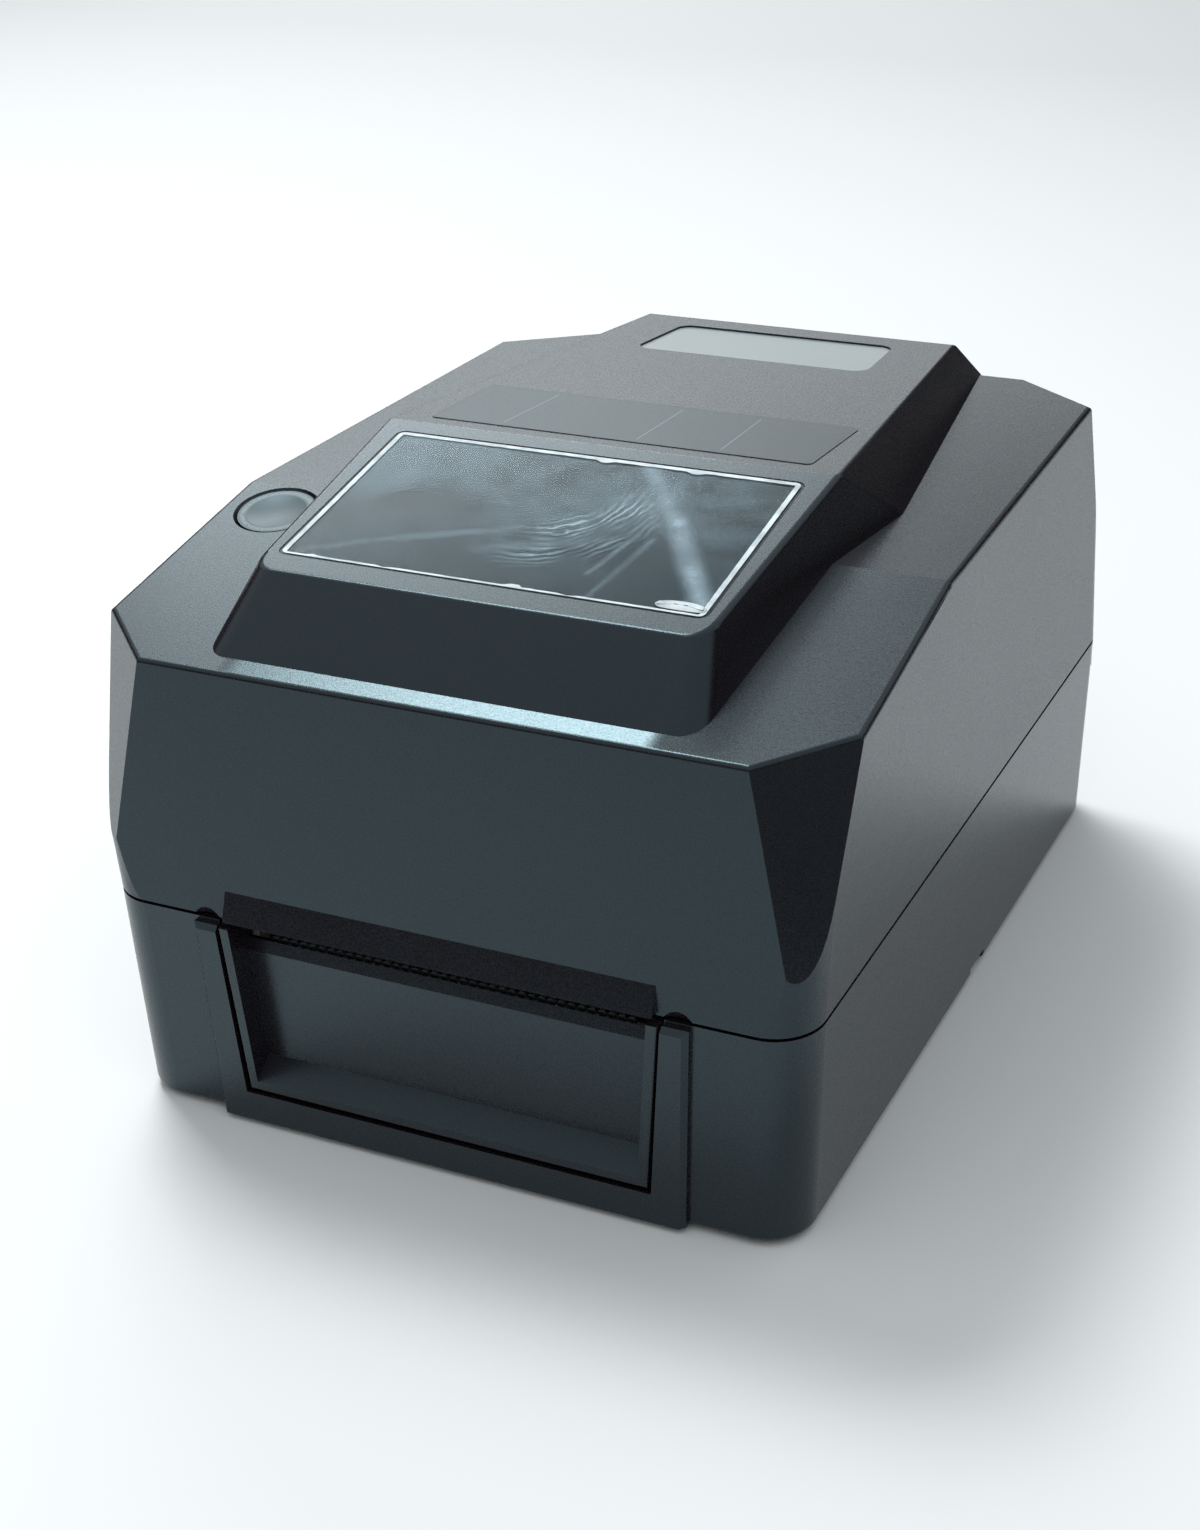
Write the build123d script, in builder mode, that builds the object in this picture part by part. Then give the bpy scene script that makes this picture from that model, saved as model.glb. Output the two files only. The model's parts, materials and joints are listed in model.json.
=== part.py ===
from build123d import *
import math
import os

os.makedirs("parts", exist_ok=True)

# Desktop thermal transfer label printer, in millimetres.
# X runs across, the front face is at -Y, Z is up from the desk, and the origin is under the middle.

# Case
overall_depth = 280.0  # label frame to rear face
frame_proud = 3.0  # how far the label frame stands out of the front face
seam_width = 215.8  # across the rim of the lower casing
base_width = 210.0  # across its bottom edge
case_corner = 14.0  # radius of the upright corners
wall = 2.5
foot_height = 2.0  # gap under the case
seam_height = 66.6  # rim of the lower casing
seam_gap = 1.0  # shadow line between casing and cover

# Cover, outside
brow_height = 141.0  # front top edge; the heights above it are rises over this edge
brow_setback = 7.0  # how far that edge leans back
brow_half_width = 90.2  # half of it, between the corner facets
bend_setback = 100.0  # from the front face to the bend in the shoulders
bend_rise = 15.2
rear_shoulder_rise = 11.1
rear_lean = 0.8
plan_rise = 19.0  # over the front edge, the level at which the two shoulder widths are measured
shoulder_front_width = 229.8
shoulder_rear_width = 209.8
facet_side_setback = 27.9  # where a front facet meets the side
facet_tip_height = 90.0
rear_facet_side = 21.8  # where a rear facet meets the side, from the rear face
rear_facet_half = 77.0  # half of the rear top edge
rear_facet_tip_height = 95.0
brow_round = 1.6

# Raised middle of the cover
hump_foot_setback = 14.2
hump_foot_half = 73.5
hump_brow_setback = 33.3
hump_brow_rise = 20.1
hump_brow_half = 67.9
crest_setback = 119.0
crest_rise = 33.4
crest_half = 71.7
tail_setback = 6.3  # from the rear face
tail_height_rise = 22.2
tail_half = 55.0
tail_foot_half = 62.4
hump_sink = 8.0  # how deep the raised middle is rooted in the shoulders
hump_root_share = 0.4  # of that depth, where the front face goes on at its own slope
hump_corner = 9.0
hump_junction = 4.0
hump_round = 2.0

# Windows, label and button in the cover
window_width = 129.4
window_length = 72.7
window_corner = 3.0
window_margin = 8.0  # from the brow to the window, up the slope
window_land = 3.0  # width of the ledge under the pane
window_rebate = 1.4
window_thickness = 1.2
film_margin = 1.0
film_thickness = 0.12
rear_pane_width = 80.6
rear_pane_taper = 5.2  # how much narrower it is at the back
rear_pane_length = 34.4
rear_pane_corner = 5.0
rear_pane_start = 107.0  # from the crest, down the rear slope
rear_pane_rebate = 1.8
rear_pane_thickness = 1.2
label_width = 122.0
label_length = 39.8
label_start = 6.0
label_thickness = 0.2
button_offset = 93.6
button_setback = 86.9
button_well_radius = 13.0
button_cap_radius = 11.8
button_travel = 1.0

# Label frame and front panel
frame_top_half = 76.1
frame_bottom_half = 73.6
frame_drop = 1.0  # frame top below the rim
opening_top_half = 68.8
opening_bottom_half = 64.2
opening_sill = 11.4
panel_gap = 1.2  # dark groove round the panel
panel_rim = 3.0
panel_recess = 8.0
panel_back = 2.5
panel_flange = 3.0
slot_sill = 58.5  # lower edge of the label exit
tray_rise = 5.0
lip_half = 66.0  # hood over the label exit
lip_height = 8.4
lip_proud = 2.4
scoop_radius = 8.0
scoop_tilt = 25.0

# Rear hinge
barrel_radius = 5.3
hinge_pin_radius = 2.0
hinge_offset = 80.0
lug_width = 8.0
hinge_clearance = 0.5
shaft_clearance = 0.05

# Fits
slip = 0.3  # between pieces that move past each other

# Print mechanism, setbacks from the front face and heights above the desk
plate_gap = 130.0  # between the two side plates
plate_thickness = 2.0
plate_front_setback = 10.0
plate_rear_setback = 125.0
plate_top = 128.0
platen_setback = 19.0
platen_height = 54.0
platen_radius = 8.5
platen_length = 118.0
platen_shaft_radius = 3.0
bush_radius = 6.0
head_pivot_setback = 85.0
head_pivot_height = 76.0
head_shaft_radius = 3.0
head_width = 116.0
head_length = 34.0
head_thickness = 4.4
head_gap = 0.35  # print head above the platen
head_lift = 9.0  # degrees
lever_turn = 80.0  # degrees
cam_setback = 109.0
cam_height = 86.0
cam_width = 6.0
cam_offset = 38.0
spring_setback = 53.0
spring_radius = 4.0
spring_wire = 0.9
spring_bar_height = 84.3
spring_bar_thickness = 3.0
supply_setback = 113.0
supply_height = 121.0
spindle_radius = 9.0
spindle_fin_radius = 12.4
spindle_length = 112.0
journal_radius = 4.0

# Gear train, outside the left side plate
gear_module = 1.2
gear_width = 6.0
pinion_teeth = 12
platen_teeth = 24
rewind_teeth = 30
tooth_backlash = 0.4
motor_size = 42.0
motor_length = 34.0
stud_radius = 3.0

# Media bay, paper deck and sliding guides
roll_radius = 63.5
roll_clearance = 2.5
roll_setback = 201.0
trough_gap = 13.4  # under the trough, over the main board
bay_half_width = 72.0
tray_thickness = 2.0
tray_deck_height = 62.5
holder_rest = 59.0  # inner face of a roll holder, from the middle
holder_travel = 35.0
holder_thickness = 3.0
hub_radius = 12.0
hub_height = 7.0
guide_travel = 35.0
deck_height = 58.5
deck_thickness = 2.5
guide_setback = 105.0
guide_length = 28.0
roll_pinion_teeth = 20
guide_pinion_teeth = 16
rack_thickness = 5.0
rack_width = 6.0
sensor_setback = 41.0

# Rear connectors and switch
port_recess = 2.0
board_level = 7.0
board_thickness = 1.6
jack_offset = 14.0
usb_offset = 34.0
network_offset = 56.0
switch_offset = 84.0
switch_height = 34.0
rocker_turn = 18.0
fold_slot_half = 59.0
fold_slot_height = 50.5
fold_slot_gap = 6.0

# Small sizes of the cover's fittings
pane_fit = 0.2  # gap round a pane
label_corner = 2.0
rear_pane_land = 2.0
button_sink = 0.4  # cap below the shoulder
button_bevel = 1.2
button_tube_depth = 6.0
button_flange = 1.5
button_board_depth = 15.0
button_post = 17.5  # from the middle of the button
button_dish = 0.8
button_dish_radius = 9.0
ring_radius = 10.4
ring_width = 1.2
ring_depth = 0.5
plunger_radius = 3.0
plunger_length = 2.5
post_radius = 3.0
post_grip = 5.0
screw_radius = 1.4
screw_head = 1.6

# Small sizes of the casing
bottom_round = 1.5
frame_bevel = 1.5
lip_rise = 2.0  # inner lip above the rim
lip_wall = 1.3
lip_root = 4.0
ledge_height = 8.0  # solid behind the hinge trough
pad_height = 4.0  # bosses under the side plates
pad_radius = 5.0
foot_radius = 7.0
foot_pocket = 1.0
foot_inset = 24.0
notch_setback = 147.0
notch_length = 13.0
notch_height = 3.0
tray_post = 90.0
tray_post_front = 139.0
tray_post_rear = 253.0
post_boss = 4.0
trim_inner = 80.0
trim_outer = 102.0
trim_front = 9.0
trim_rear = 124.0

# Small sizes of the mechanism
plate_flange = 12.0
tab_length = 18.0
screw_reach = 7.0
shaft_end = 4.0
tear_bar_thickness = 1.0
tear_bar_height = 11.5
tear_bar_half = 57.0
tear_pitch = 3.0
tear_depth = 1.2
fin_count = 7
fin_height = 5.0
ear_width = 8.0
ear_radius = 6.5
tail_reach = 30.0  # head bracket behind its pivot
tail_rise = 3.0  # top of the tails above the pivot
tail_thickness = 4.0
cam_gap = 0.3
cam_heel = 6.4
lever_length = 40.0
lever_width = 6.0
spring_turns = 5
guide_bar_setback = 121.0
guide_bar_height = 70.0
first_mesh = -26.0  # direction from platen gear to drive idler, degrees
second_mesh = -25.0  # from there to the motor
third_mesh = 58.0  # from platen gear to rewind idler
fourth_mesh = 70.0  # from there to the rewind spindle
drive_idler_teeth = 36
rewind_idler_teeth = 33
gear_gap = 4.0  # gears outside the plate

# Small sizes of the mechanism, deck, tray and rear fittings
addendum = 1.05
dedendum = 1.5
clip_thickness = 1.0
cam_turns = (0, 10, 20, 30, 40, 50, 60, 71)
lever_thickness = 6.0
motor_shaft_radius = 2.5
motor_shaft_depth = 10.0
motor_boss_radius = 11.0
motor_screw = 15.5
motor_corner = 4.0
spindle_fin_thickness = 3.0
sensor_rail_height = 45.0
sensor_rail_radius = 2.0
sensor_travel = 40.0
sensor_window = 5.0
sensor_depth = 10.0
sensor_half = 6.0
plate_shoulder = 16.0
plate_corner = 3.0
screw_inset = 12.0
panel_flange_thickness = 2.0
panel_round = 0.8
slot_bevel = 3.5
tear_rise = 1.0
bush_flange = 1.5
spring_bar_width = 16.0
spring_tab = 14.0
spring_peg = 3.0
spring_offset = 20.0
head_line_front = 4.0
head_ramp = 1.0
fin_pitch = 4.0
fin_thickness = 1.6
deck_front_setback = 29.0
deck_drop = 1.5
guide_rest = 57.0
guide_thickness = 2.5
guide_height = 7.0
stem_width = 8.0
tray_front_setback = 127.0
tray_pad = 18.0
trim_corner = 4.0
holder_foot_half = 13.0
holder_head = 20.0
hub_round = 1.5
ledge_wall = 2.0
lug_tail = 1.5
screw_bite = 1.5
board_left = -60.0
board_right = 85.0
board_depth = 116.5
board_setback = 3.5  # from the rear face
chip_offset = 30.0
chip_size = 18.0
chip_height = 2.0
capacitor_radius = 5.0
jack_width = 9.0
jack_height = 11.0
jack_depth = 14.0
jack_bore = 3.2
jack_pin = 1.0
usb_width = 12.0
usb_height = 11.0
usb_depth = 16.0
socket_wall = 1.2
network_width = 16.0
network_height = 13.5
switch_half_width = 6.0
switch_half_height = 10.4
switch_depth = 16.0
bezel_half_width = 8.8
bezel_half_height = 13.2
bezel_depth = 4.0
bezel_thickness = 1.2
rocker_half_width = 4.5
rocker_half_height = 7.2
rocker_reach = 8.7
rocker_face = 4.6
rocker_dip = 1.7
rocker_sink = 3.0
rocker_pin = 1.2
rocker_pin_reach = 1.0

front_y = frame_proud - overall_depth / 2
rear_y = overall_depth / 2
cover_bottom = seam_height + seam_gap
plan_height = brow_height + plan_rise
bend_height = brow_height + bend_rise
rear_shoulder_height = brow_height + rear_shoulder_rise
hump_brow_height = brow_height + hump_brow_rise
crest_height = brow_height + crest_rise
tail_height = brow_height + tail_height_rise
hinge_y = rear_y - barrel_radius
hinge_z = seam_height + seam_gap / 2
hinge_half = seam_width / 2 - case_corner + math.sqrt(case_corner**2 - (case_corner - barrel_radius) ** 2)
trough_floor = hinge_z - barrel_radius - 2 * hinge_clearance
floor_top = foot_height + wall
button_bore = button_cap_radius + slip
scoop_x = (frame_top_half + opening_top_half) / 2
scoop_y = front_y + wall / 2 - scoop_radius / math.cos(math.radians(scoop_tilt))
plate_inner = plate_gap / 2
plate_outer = plate_inner + plate_thickness
gear_plane = plate_outer + gear_gap
trim_level = tray_deck_height - tray_thickness
deck_front = front_y + deck_front_setback


# Axis of a wheel that meshes with the one before it, in the given direction
def next_wheel(place, teeth, next_teeth, direction):
    reach = gear_module * (teeth + next_teeth) / 2
    turn = math.radians(direction)
    return (place[0] + reach * math.cos(turn), place[1] + reach * math.sin(turn))


# Angle of one of its teeth, from that of the wheel before it
def next_phase(phase, teeth, next_teeth, direction):
    share = ((direction - phase) / (360 / teeth)) % 1
    return direction + 180 + (share + 0.5) * 360 / next_teeth


# Axes of the mechanism in the side view
platen_place = (front_y + platen_setback, platen_height)
drive_idler_place = next_wheel(platen_place, platen_teeth, drive_idler_teeth, first_mesh)
motor_place = next_wheel(drive_idler_place, drive_idler_teeth, pinion_teeth, second_mesh)
rewind_idler_place = next_wheel(platen_place, platen_teeth, rewind_idler_teeth, third_mesh)
rewind_place = next_wheel(rewind_idler_place, rewind_idler_teeth, rewind_teeth, fourth_mesh)
platen_phase = 0
drive_idler_phase = next_phase(platen_phase, platen_teeth, drive_idler_teeth, first_mesh)
pinion_phase = next_phase(drive_idler_phase, drive_idler_teeth, pinion_teeth, second_mesh)
rewind_idler_phase = next_phase(platen_phase, platen_teeth, rewind_idler_teeth, third_mesh)
rewind_phase = next_phase(rewind_idler_phase, rewind_idler_teeth, rewind_teeth, fourth_mesh)
supply_place = (front_y + supply_setback, supply_height)
pivot_place = (front_y + head_pivot_setback, head_pivot_height)
cam_place = (front_y + cam_setback, cam_height)
guide_bar_place = (front_y + guide_bar_setback, guide_bar_height)
sensor_place = (front_y + sensor_setback, sensor_rail_height)
motor_screw_offsets = [(y * motor_screw, z * motor_screw) for y in (-1, 1) for z in (-1, 1)]

# Corners of one tooth across the pitch line
flank = math.tan(math.radians(20))
tooth_half = (math.pi * gear_module / 2 - tooth_backlash) / 2
tooth_corners = (
    (-tooth_half - dedendum * flank, -dedendum),
    (addendum * flank - tooth_half, addendum),
    (tooth_half - addendum * flank, addendum),
    (tooth_half + dedendum * flank, -dedendum),
)


# Closed outline of a toothed wheel with one tooth at the given angle
def wheel_outline(teeth, phase, place):
    points = []
    for tooth in range(teeth):
        middle_angle = math.radians(phase + 360 * tooth / teeth)
        for across_tooth, height in tooth_corners:
            radius = gear_module * teeth / 2 + height
            angle = middle_angle + across_tooth / radius
            points.append((place[0] + radius * math.cos(angle), place[1] + radius * math.sin(angle)))
    return points


# Screw and foot places in plan
def four_places(half, front, rear):
    return [(x, y) for x in (-half, half) for y in (front, rear)]


plate_screw_places = four_places(
    plate_inner + plate_flange / 2,
    front_y + plate_front_setback + screw_inset,
    front_y + plate_rear_setback - screw_inset,
)
deck_screw_places = four_places(tray_post, front_y + tray_post_front, front_y + tray_post_rear)
deck_screw_places += four_places(
    tray_post,
    front_y + trim_front + screw_inset,
    front_y + trim_rear - screw_inset,
)
board_rear = rear_y - board_setback
board_front = board_rear - board_depth
board_screw_places = [
    (x, y)
    for x in (board_left + wall, board_right - wall)
    for y in (board_front + 2 * wall, board_rear - 2 * wall)
]
foot_places = four_places(base_width / 2 - foot_inset, front_y + foot_inset, rear_y - foot_inset)
board_top = board_level + board_thickness
sockets = (
    (jack_offset, jack_width, jack_height),
    (usb_offset, usb_width, usb_height),
    (network_offset, network_width, network_height),
)


# Rod along X
def across(radius, length, middle_x, place, mode=Mode.ADD):
    with Locations((middle_x, place[0], place[1])):
        Cylinder(radius, length, rotation=(0, 90, 0), mode=mode)


# Ruled side of the cover: half width at a place and a level
def side_half(y, z):
    up = (z - cover_bottom) / (plan_height - cover_bottom)
    back = (y - front_y) / (rear_y - front_y)
    top = shoulder_front_width / 2 + back * (shoulder_rear_width - shoulder_front_width) / 2
    return seam_width / 2 + up * (top - seam_width / 2)


# Level of the shoulders at a place
def shoulder_level(y):
    brow_y = front_y + brow_setback
    bend_y = front_y + bend_setback
    if y < bend_y:
        return brow_height + (y - brow_y) * (bend_height - brow_height) / (bend_y - brow_y)
    return bend_height + (y - bend_y) * (rear_shoulder_height - bend_height) / (rear_y - rear_lean - bend_y)


# Plan outline with rounded upright corners
def plan_outline(level, front_half, rear_half, inset):
    with BuildSketch(Plane.XY.offset(level)) as outline:
        with BuildLine():
            Polyline(
                (inset - front_half, front_y + inset),
                (front_half - inset, front_y + inset),
                (rear_half - inset, rear_y - inset),
                (inset - rear_half, rear_y - inset),
                close=True,
            )
        make_face()
        fillet(outline.vertices(), case_corner - inset)
    return outline.sketch


# Plane through three points of one flank, facing out, moved in by the inset
def flank_plane(first, second, third, side, inset):
    a, b, c = [Vector(side * p[0], p[1], p[2]) for p in (first, second, third)]
    normal = (b - a).cross(c - a).normalized()
    if normal.X * side < 0:
        normal = normal * -1
    return Plane(origin=a - normal * inset, z_dir=normal)


# The edges whose middles lie nearest to the given points, mirrored left and right
def edges_near(part, *points):
    found = []
    for x, y, z in points:
        for side in (1, -1):
            place = Vector(side * x, y, z)
            found.append(min(part.edges(), key=lambda edge: (edge.center() - place).length))
    return found


def middle(first, second):
    return tuple((a + b) / 2 for a, b in zip(first, second))


# All edges round the faces that look up
def top_edges(part):
    edges = []
    for face in part.faces():
        if face.normal_at().Z > 0.9:
            edges += [edge for edge in face.edges() if all(not edge.is_same(seen) for seen in edges)]
    return edges


# Corner points of the cover, right-hand side
brow_corner = (brow_half_width, front_y + brow_setback, brow_height)
facet_side_y = front_y + facet_side_setback
facet_side_z = shoulder_level(facet_side_y)
facet_side = (side_half(facet_side_y, facet_side_z), facet_side_y, facet_side_z)
facet_run = Vector(facet_side[0] - brow_corner[0], facet_side[1] - brow_corner[1])
facet_out = Vector(facet_run.Y, -facet_run.X).normalized()
facet_lean = brow_setback * (facet_tip_height - cover_bottom) / (brow_height - cover_bottom)
facet_tip = (
    side_half(front_y, facet_tip_height) - case_corner + case_corner * facet_out.X,
    front_y + facet_lean + case_corner + case_corner * facet_out.Y,
    facet_tip_height,
)
rear_side_y = rear_y - rear_facet_side
rear_side_z = shoulder_level(rear_side_y)
rear_facet_a = (side_half(rear_side_y, rear_side_z), rear_side_y, rear_side_z)
rear_facet_b = (rear_facet_half, rear_y - rear_lean, rear_shoulder_height)
rear_run = Vector(rear_facet_a[0] - rear_facet_b[0], rear_facet_a[1] - rear_facet_b[1])
rear_out = Vector(-rear_run.Y, rear_run.X).normalized()
rear_tip = (
    side_half(rear_y, rear_facet_tip_height) - case_corner + case_corner * rear_out.X,
    rear_y - rear_lean / 2 - case_corner + case_corner * rear_out.Y,
    rear_facet_tip_height,
)
hump_foot = (hump_foot_half, front_y + hump_foot_setback, shoulder_level(front_y + hump_foot_setback))
hump_brow = (hump_brow_half, front_y + hump_brow_setback, hump_brow_height)
crest = (crest_half, front_y + crest_setback, crest_height)
tail = (tail_half, rear_y - tail_setback, tail_height)
tail_foot = (tail_foot_half, rear_y - rear_lean, rear_shoulder_height)


# Raised middle: side profile across the cover, cut by two pairs of sloping flanks
def hump_form(inset):
    rake = (hump_brow[1] - hump_foot[1]) / (hump_brow[2] - hump_foot[2])
    root = hump_sink * hump_root_share
    with BuildPart() as form:
        with BuildSketch(Plane.YZ):
            with BuildLine():
                Polyline(
                    hump_brow[1:],
                    crest[1:],
                    tail[1:],
                    tail_foot[1:],
                    (tail_foot[1] - root, rear_shoulder_height - hump_sink),
                    (front_y + bend_setback, bend_height - hump_sink),
                    (hump_foot[1] - rake * root, hump_foot[2] - root),
                    close=True,
                )
            make_face()
            if inset:
                offset(amount=-inset, kind=Kind.INTERSECTION, mode=Mode.REPLACE)
        extrude(amount=seam_width / 2, both=True)
        for side in (1, -1):
            split(bisect_by=flank_plane(hump_brow, crest, hump_foot, side, inset), keep=Keep.BOTTOM)
            split(bisect_by=flank_plane(crest, tail, tail_foot, side, inset), keep=Keep.BOTTOM)
    return form.part


# Shoulders: ruled sides, leaning front, bent top and the four corner facets
def shoulder_form(inset):
    lean = brow_setback / (brow_height - cover_bottom)
    with BuildPart() as form:
        add(plan_outline(cover_bottom, seam_width / 2, seam_width / 2, inset))
        add(plan_outline(plan_height, shoulder_front_width / 2, shoulder_rear_width / 2, inset))
        loft(ruled=True)
        with BuildSketch(Plane.YZ):
            with BuildLine():
                Polyline(
                    (front_y - lean * 2 * wall, cover_bottom - 2 * wall),
                    brow_corner[1:],
                    (front_y + bend_setback, bend_height),
                    (rear_y - rear_lean, rear_shoulder_height),
                    (rear_y, cover_bottom - 2 * wall),
                    close=True,
                )
            make_face()
            if inset:
                offset(amount=-inset, kind=Kind.INTERSECTION, mode=Mode.REPLACE)
        extrude(amount=seam_width, both=True, mode=Mode.INTERSECT)
        for side in (1, -1):
            split(bisect_by=flank_plane(brow_corner, facet_side, facet_tip, side, inset), keep=Keep.BOTTOM)
            split(bisect_by=flank_plane(rear_facet_a, rear_facet_b, rear_tip, side, inset), keep=Keep.BOTTOM)
    return form.part


# Sloping faces of the raised middle and of the front shoulders
def slope_plane(x, low, high):
    run = high[1] - low[1]
    rise = high[2] - low[2]
    return Plane(origin=(x, low[1], low[2]), x_dir=(1, 0, 0), z_dir=(0, -rise, run))


window_plane = slope_plane(0, hump_brow, crest)
rear_plane = slope_plane(0, crest, tail)
button_y = front_y + button_setback
button_plane = slope_plane(
    -button_offset, (0, button_y, shoulder_level(button_y)), (0, button_y + 1, shoulder_level(button_y + 1))
)
window_middle = window_margin + window_length / 2
label_middle = label_start + label_length / 2


# Tapered outline of the rear pane at a depth in the rear slope, shrunk all round
def rear_pane_outline(depth, shrink):
    front_half = rear_pane_width / 2 - shrink
    back_half = front_half - rear_pane_taper / 2
    front_edge = rear_pane_start + shrink
    back_edge = rear_pane_start + rear_pane_length - shrink
    with BuildSketch(rear_plane.offset(-depth)) as pane:
        with BuildLine():
            Polyline(
                (-front_half, front_edge),
                (front_half, front_edge),
                (back_half, back_edge),
                (-back_half, back_edge),
                close=True,
            )
        make_face()
        fillet(pane.vertices(), rear_pane_corner - shrink)
    return pane.sketch


# Rolled rear edge of the cover, trimmed to the plan of the casing
with BuildPart() as barrel:
    with BuildSketch(Plane.YZ):
        with Locations((hinge_y, hinge_z)):
            Circle(barrel_radius)
    extrude(amount=hinge_half, both=True)
    add(plan_outline(hinge_z - barrel_radius, seam_width / 2, seam_width / 2, 0))
    extrude(amount=2 * barrel_radius, mode=Mode.INTERSECT)

# Top cover
shoulder_outer = shoulder_form(0)
shoulder_inner = shoulder_form(wall)
hump_outer = hump_form(0)
hump_inner = hump_form(wall)

with BuildPart() as hump_skin:
    add(hump_outer)
    fillet(edges_near(hump_skin, middle(hump_brow, hump_foot)), hump_corner)
    junction = [e for e in hump_skin.edges() if e.length > 30 and abs(e.center().X) > crest_half]
    junction = [e for e in junction if max((e @ 0).Z, (e @ 1).Z) > crest_height - 3]
    fillet([e for e in junction if abs(e.tangent_at(0.5).Z) > 0.4], hump_junction)
    fillet(top_edges(hump_skin), hump_round)

with BuildPart() as shoulder_skin:
    add(shoulder_outer)
    bend = Vector(0, front_y + bend_setback, bend_height)
    fillet([e for e in top_edges(shoulder_skin) if (e.center() - bend).length > wall], brow_round)

with BuildPart() as top_cover:
    add(shoulder_skin.part)
    add(hump_skin.part)
    # hood over the label exit
    with BuildSketch(Plane.YZ):
        with BuildLine():
            Polyline(
                (front_y + wall / 2, cover_bottom),
                (front_y - lip_proud, cover_bottom),
                (
                    front_y + lip_height * brow_setback / (brow_height - cover_bottom),
                    cover_bottom + lip_height,
                ),
                close=True,
            )
        make_face()
    extrude(amount=lip_half, both=True)
    add(shoulder_inner, mode=Mode.SUBTRACT)
    add(hump_inner, mode=Mode.SUBTRACT)
    # scoops at its ends, over the tops of the label frame
    for side in (1, -1):
        with Locations((side * scoop_x, scoop_y, cover_bottom)):
            Cylinder(scoop_radius, 4 * lip_height, rotation=(scoop_tilt, 0, 0), mode=Mode.SUBTRACT)
    # hinge knuckles
    add(barrel.part)
    for side in (1, -1):
        with Locations((side * hinge_offset, hinge_y, hinge_z)):
            turn = (0, 90, 0)
            Cylinder(barrel_radius + hinge_clearance, lug_width + 2 * slip, rotation=turn, mode=Mode.SUBTRACT)
            Cylinder(hinge_pin_radius, 3 * lug_width, rotation=turn, mode=Mode.SUBTRACT)
    # window openings with their ledges
    with BuildSketch(window_plane.offset(-window_rebate)):
        with Locations((0, window_middle)):
            RectangleRounded(window_width, window_length, window_corner)
    extrude(amount=2 * wall, mode=Mode.SUBTRACT)
    with BuildSketch(window_plane.offset(-2 * wall)):
        with Locations((0, window_middle)):
            RectangleRounded(window_width - 2 * window_land, window_length - 2 * window_land, window_corner)
    extrude(amount=3 * wall, mode=Mode.SUBTRACT)
    extrude(rear_pane_outline(rear_pane_rebate, 0), amount=2 * wall, mode=Mode.SUBTRACT)
    extrude(rear_pane_outline(2 * wall, rear_pane_land), amount=3 * wall, mode=Mode.SUBTRACT)
    # well, guide tube and posts of the feed button
    with BuildSketch(button_plane.offset(-button_tube_depth)):
        Circle(button_bore + wall)
        with Locations((0, button_post), (0, -button_post)):
            Circle(post_radius)
    extrude(amount=button_tube_depth - wall / 2)
    with BuildSketch(button_plane.offset(-button_tube_depth - wall)):
        Circle(button_bore)
    extrude(amount=button_tube_depth + 2 * wall, mode=Mode.SUBTRACT)
    with BuildSketch(button_plane.offset(-button_bevel)):
        Circle(button_bore)
    with BuildSketch(button_plane):
        Circle(button_well_radius)
    loft(mode=Mode.SUBTRACT)
    with BuildSketch(button_plane.offset(-button_board_depth)):
        with Locations((0, button_post), (0, -button_post)):
            Circle(post_radius)
            Circle(screw_radius, mode=Mode.SUBTRACT)
    extrude(amount=button_board_depth - button_tube_depth)
top_cover.part.label = "top_cover"
export_step(top_cover.part, "parts/top_cover.step")

# Front window with the protective film on it
with BuildPart() as front_window:
    with BuildSketch(window_plane.offset(-window_rebate)):
        with Locations((0, window_middle)):
            RectangleRounded(
                window_width - 2 * pane_fit,
                window_length - 2 * pane_fit,
                window_corner - pane_fit,
            )
    extrude(amount=window_thickness)
front_window.part.label = "front_window"
export_step(front_window.part, "parts/front_window.step")

with BuildPart() as window_film:
    with BuildSketch(window_plane.offset(window_thickness - window_rebate)):
        with Locations((0, window_middle)):
            RectangleRounded(window_width - 2 * film_margin, window_length - 2 * film_margin, film_margin)
    extrude(amount=film_thickness)
window_film.part.label = "window_film"
export_step(window_film.part, "parts/window_film.step")

# Rear window
with BuildPart() as rear_window:
    extrude(rear_pane_outline(rear_pane_rebate, pane_fit), amount=rear_pane_thickness)
rear_window.part.label = "rear_window"
export_step(rear_window.part, "parts/rear_window.step")

# Bare label plate behind the crest
with BuildPart() as cover_label:
    with BuildSketch(rear_plane):
        with Locations((0, label_middle)):
            RectangleRounded(label_width, label_length, label_corner)
    extrude(amount=label_thickness)
cover_label.part.label = "cover_label"
export_step(cover_label.part, "parts/cover_label.step")

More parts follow.
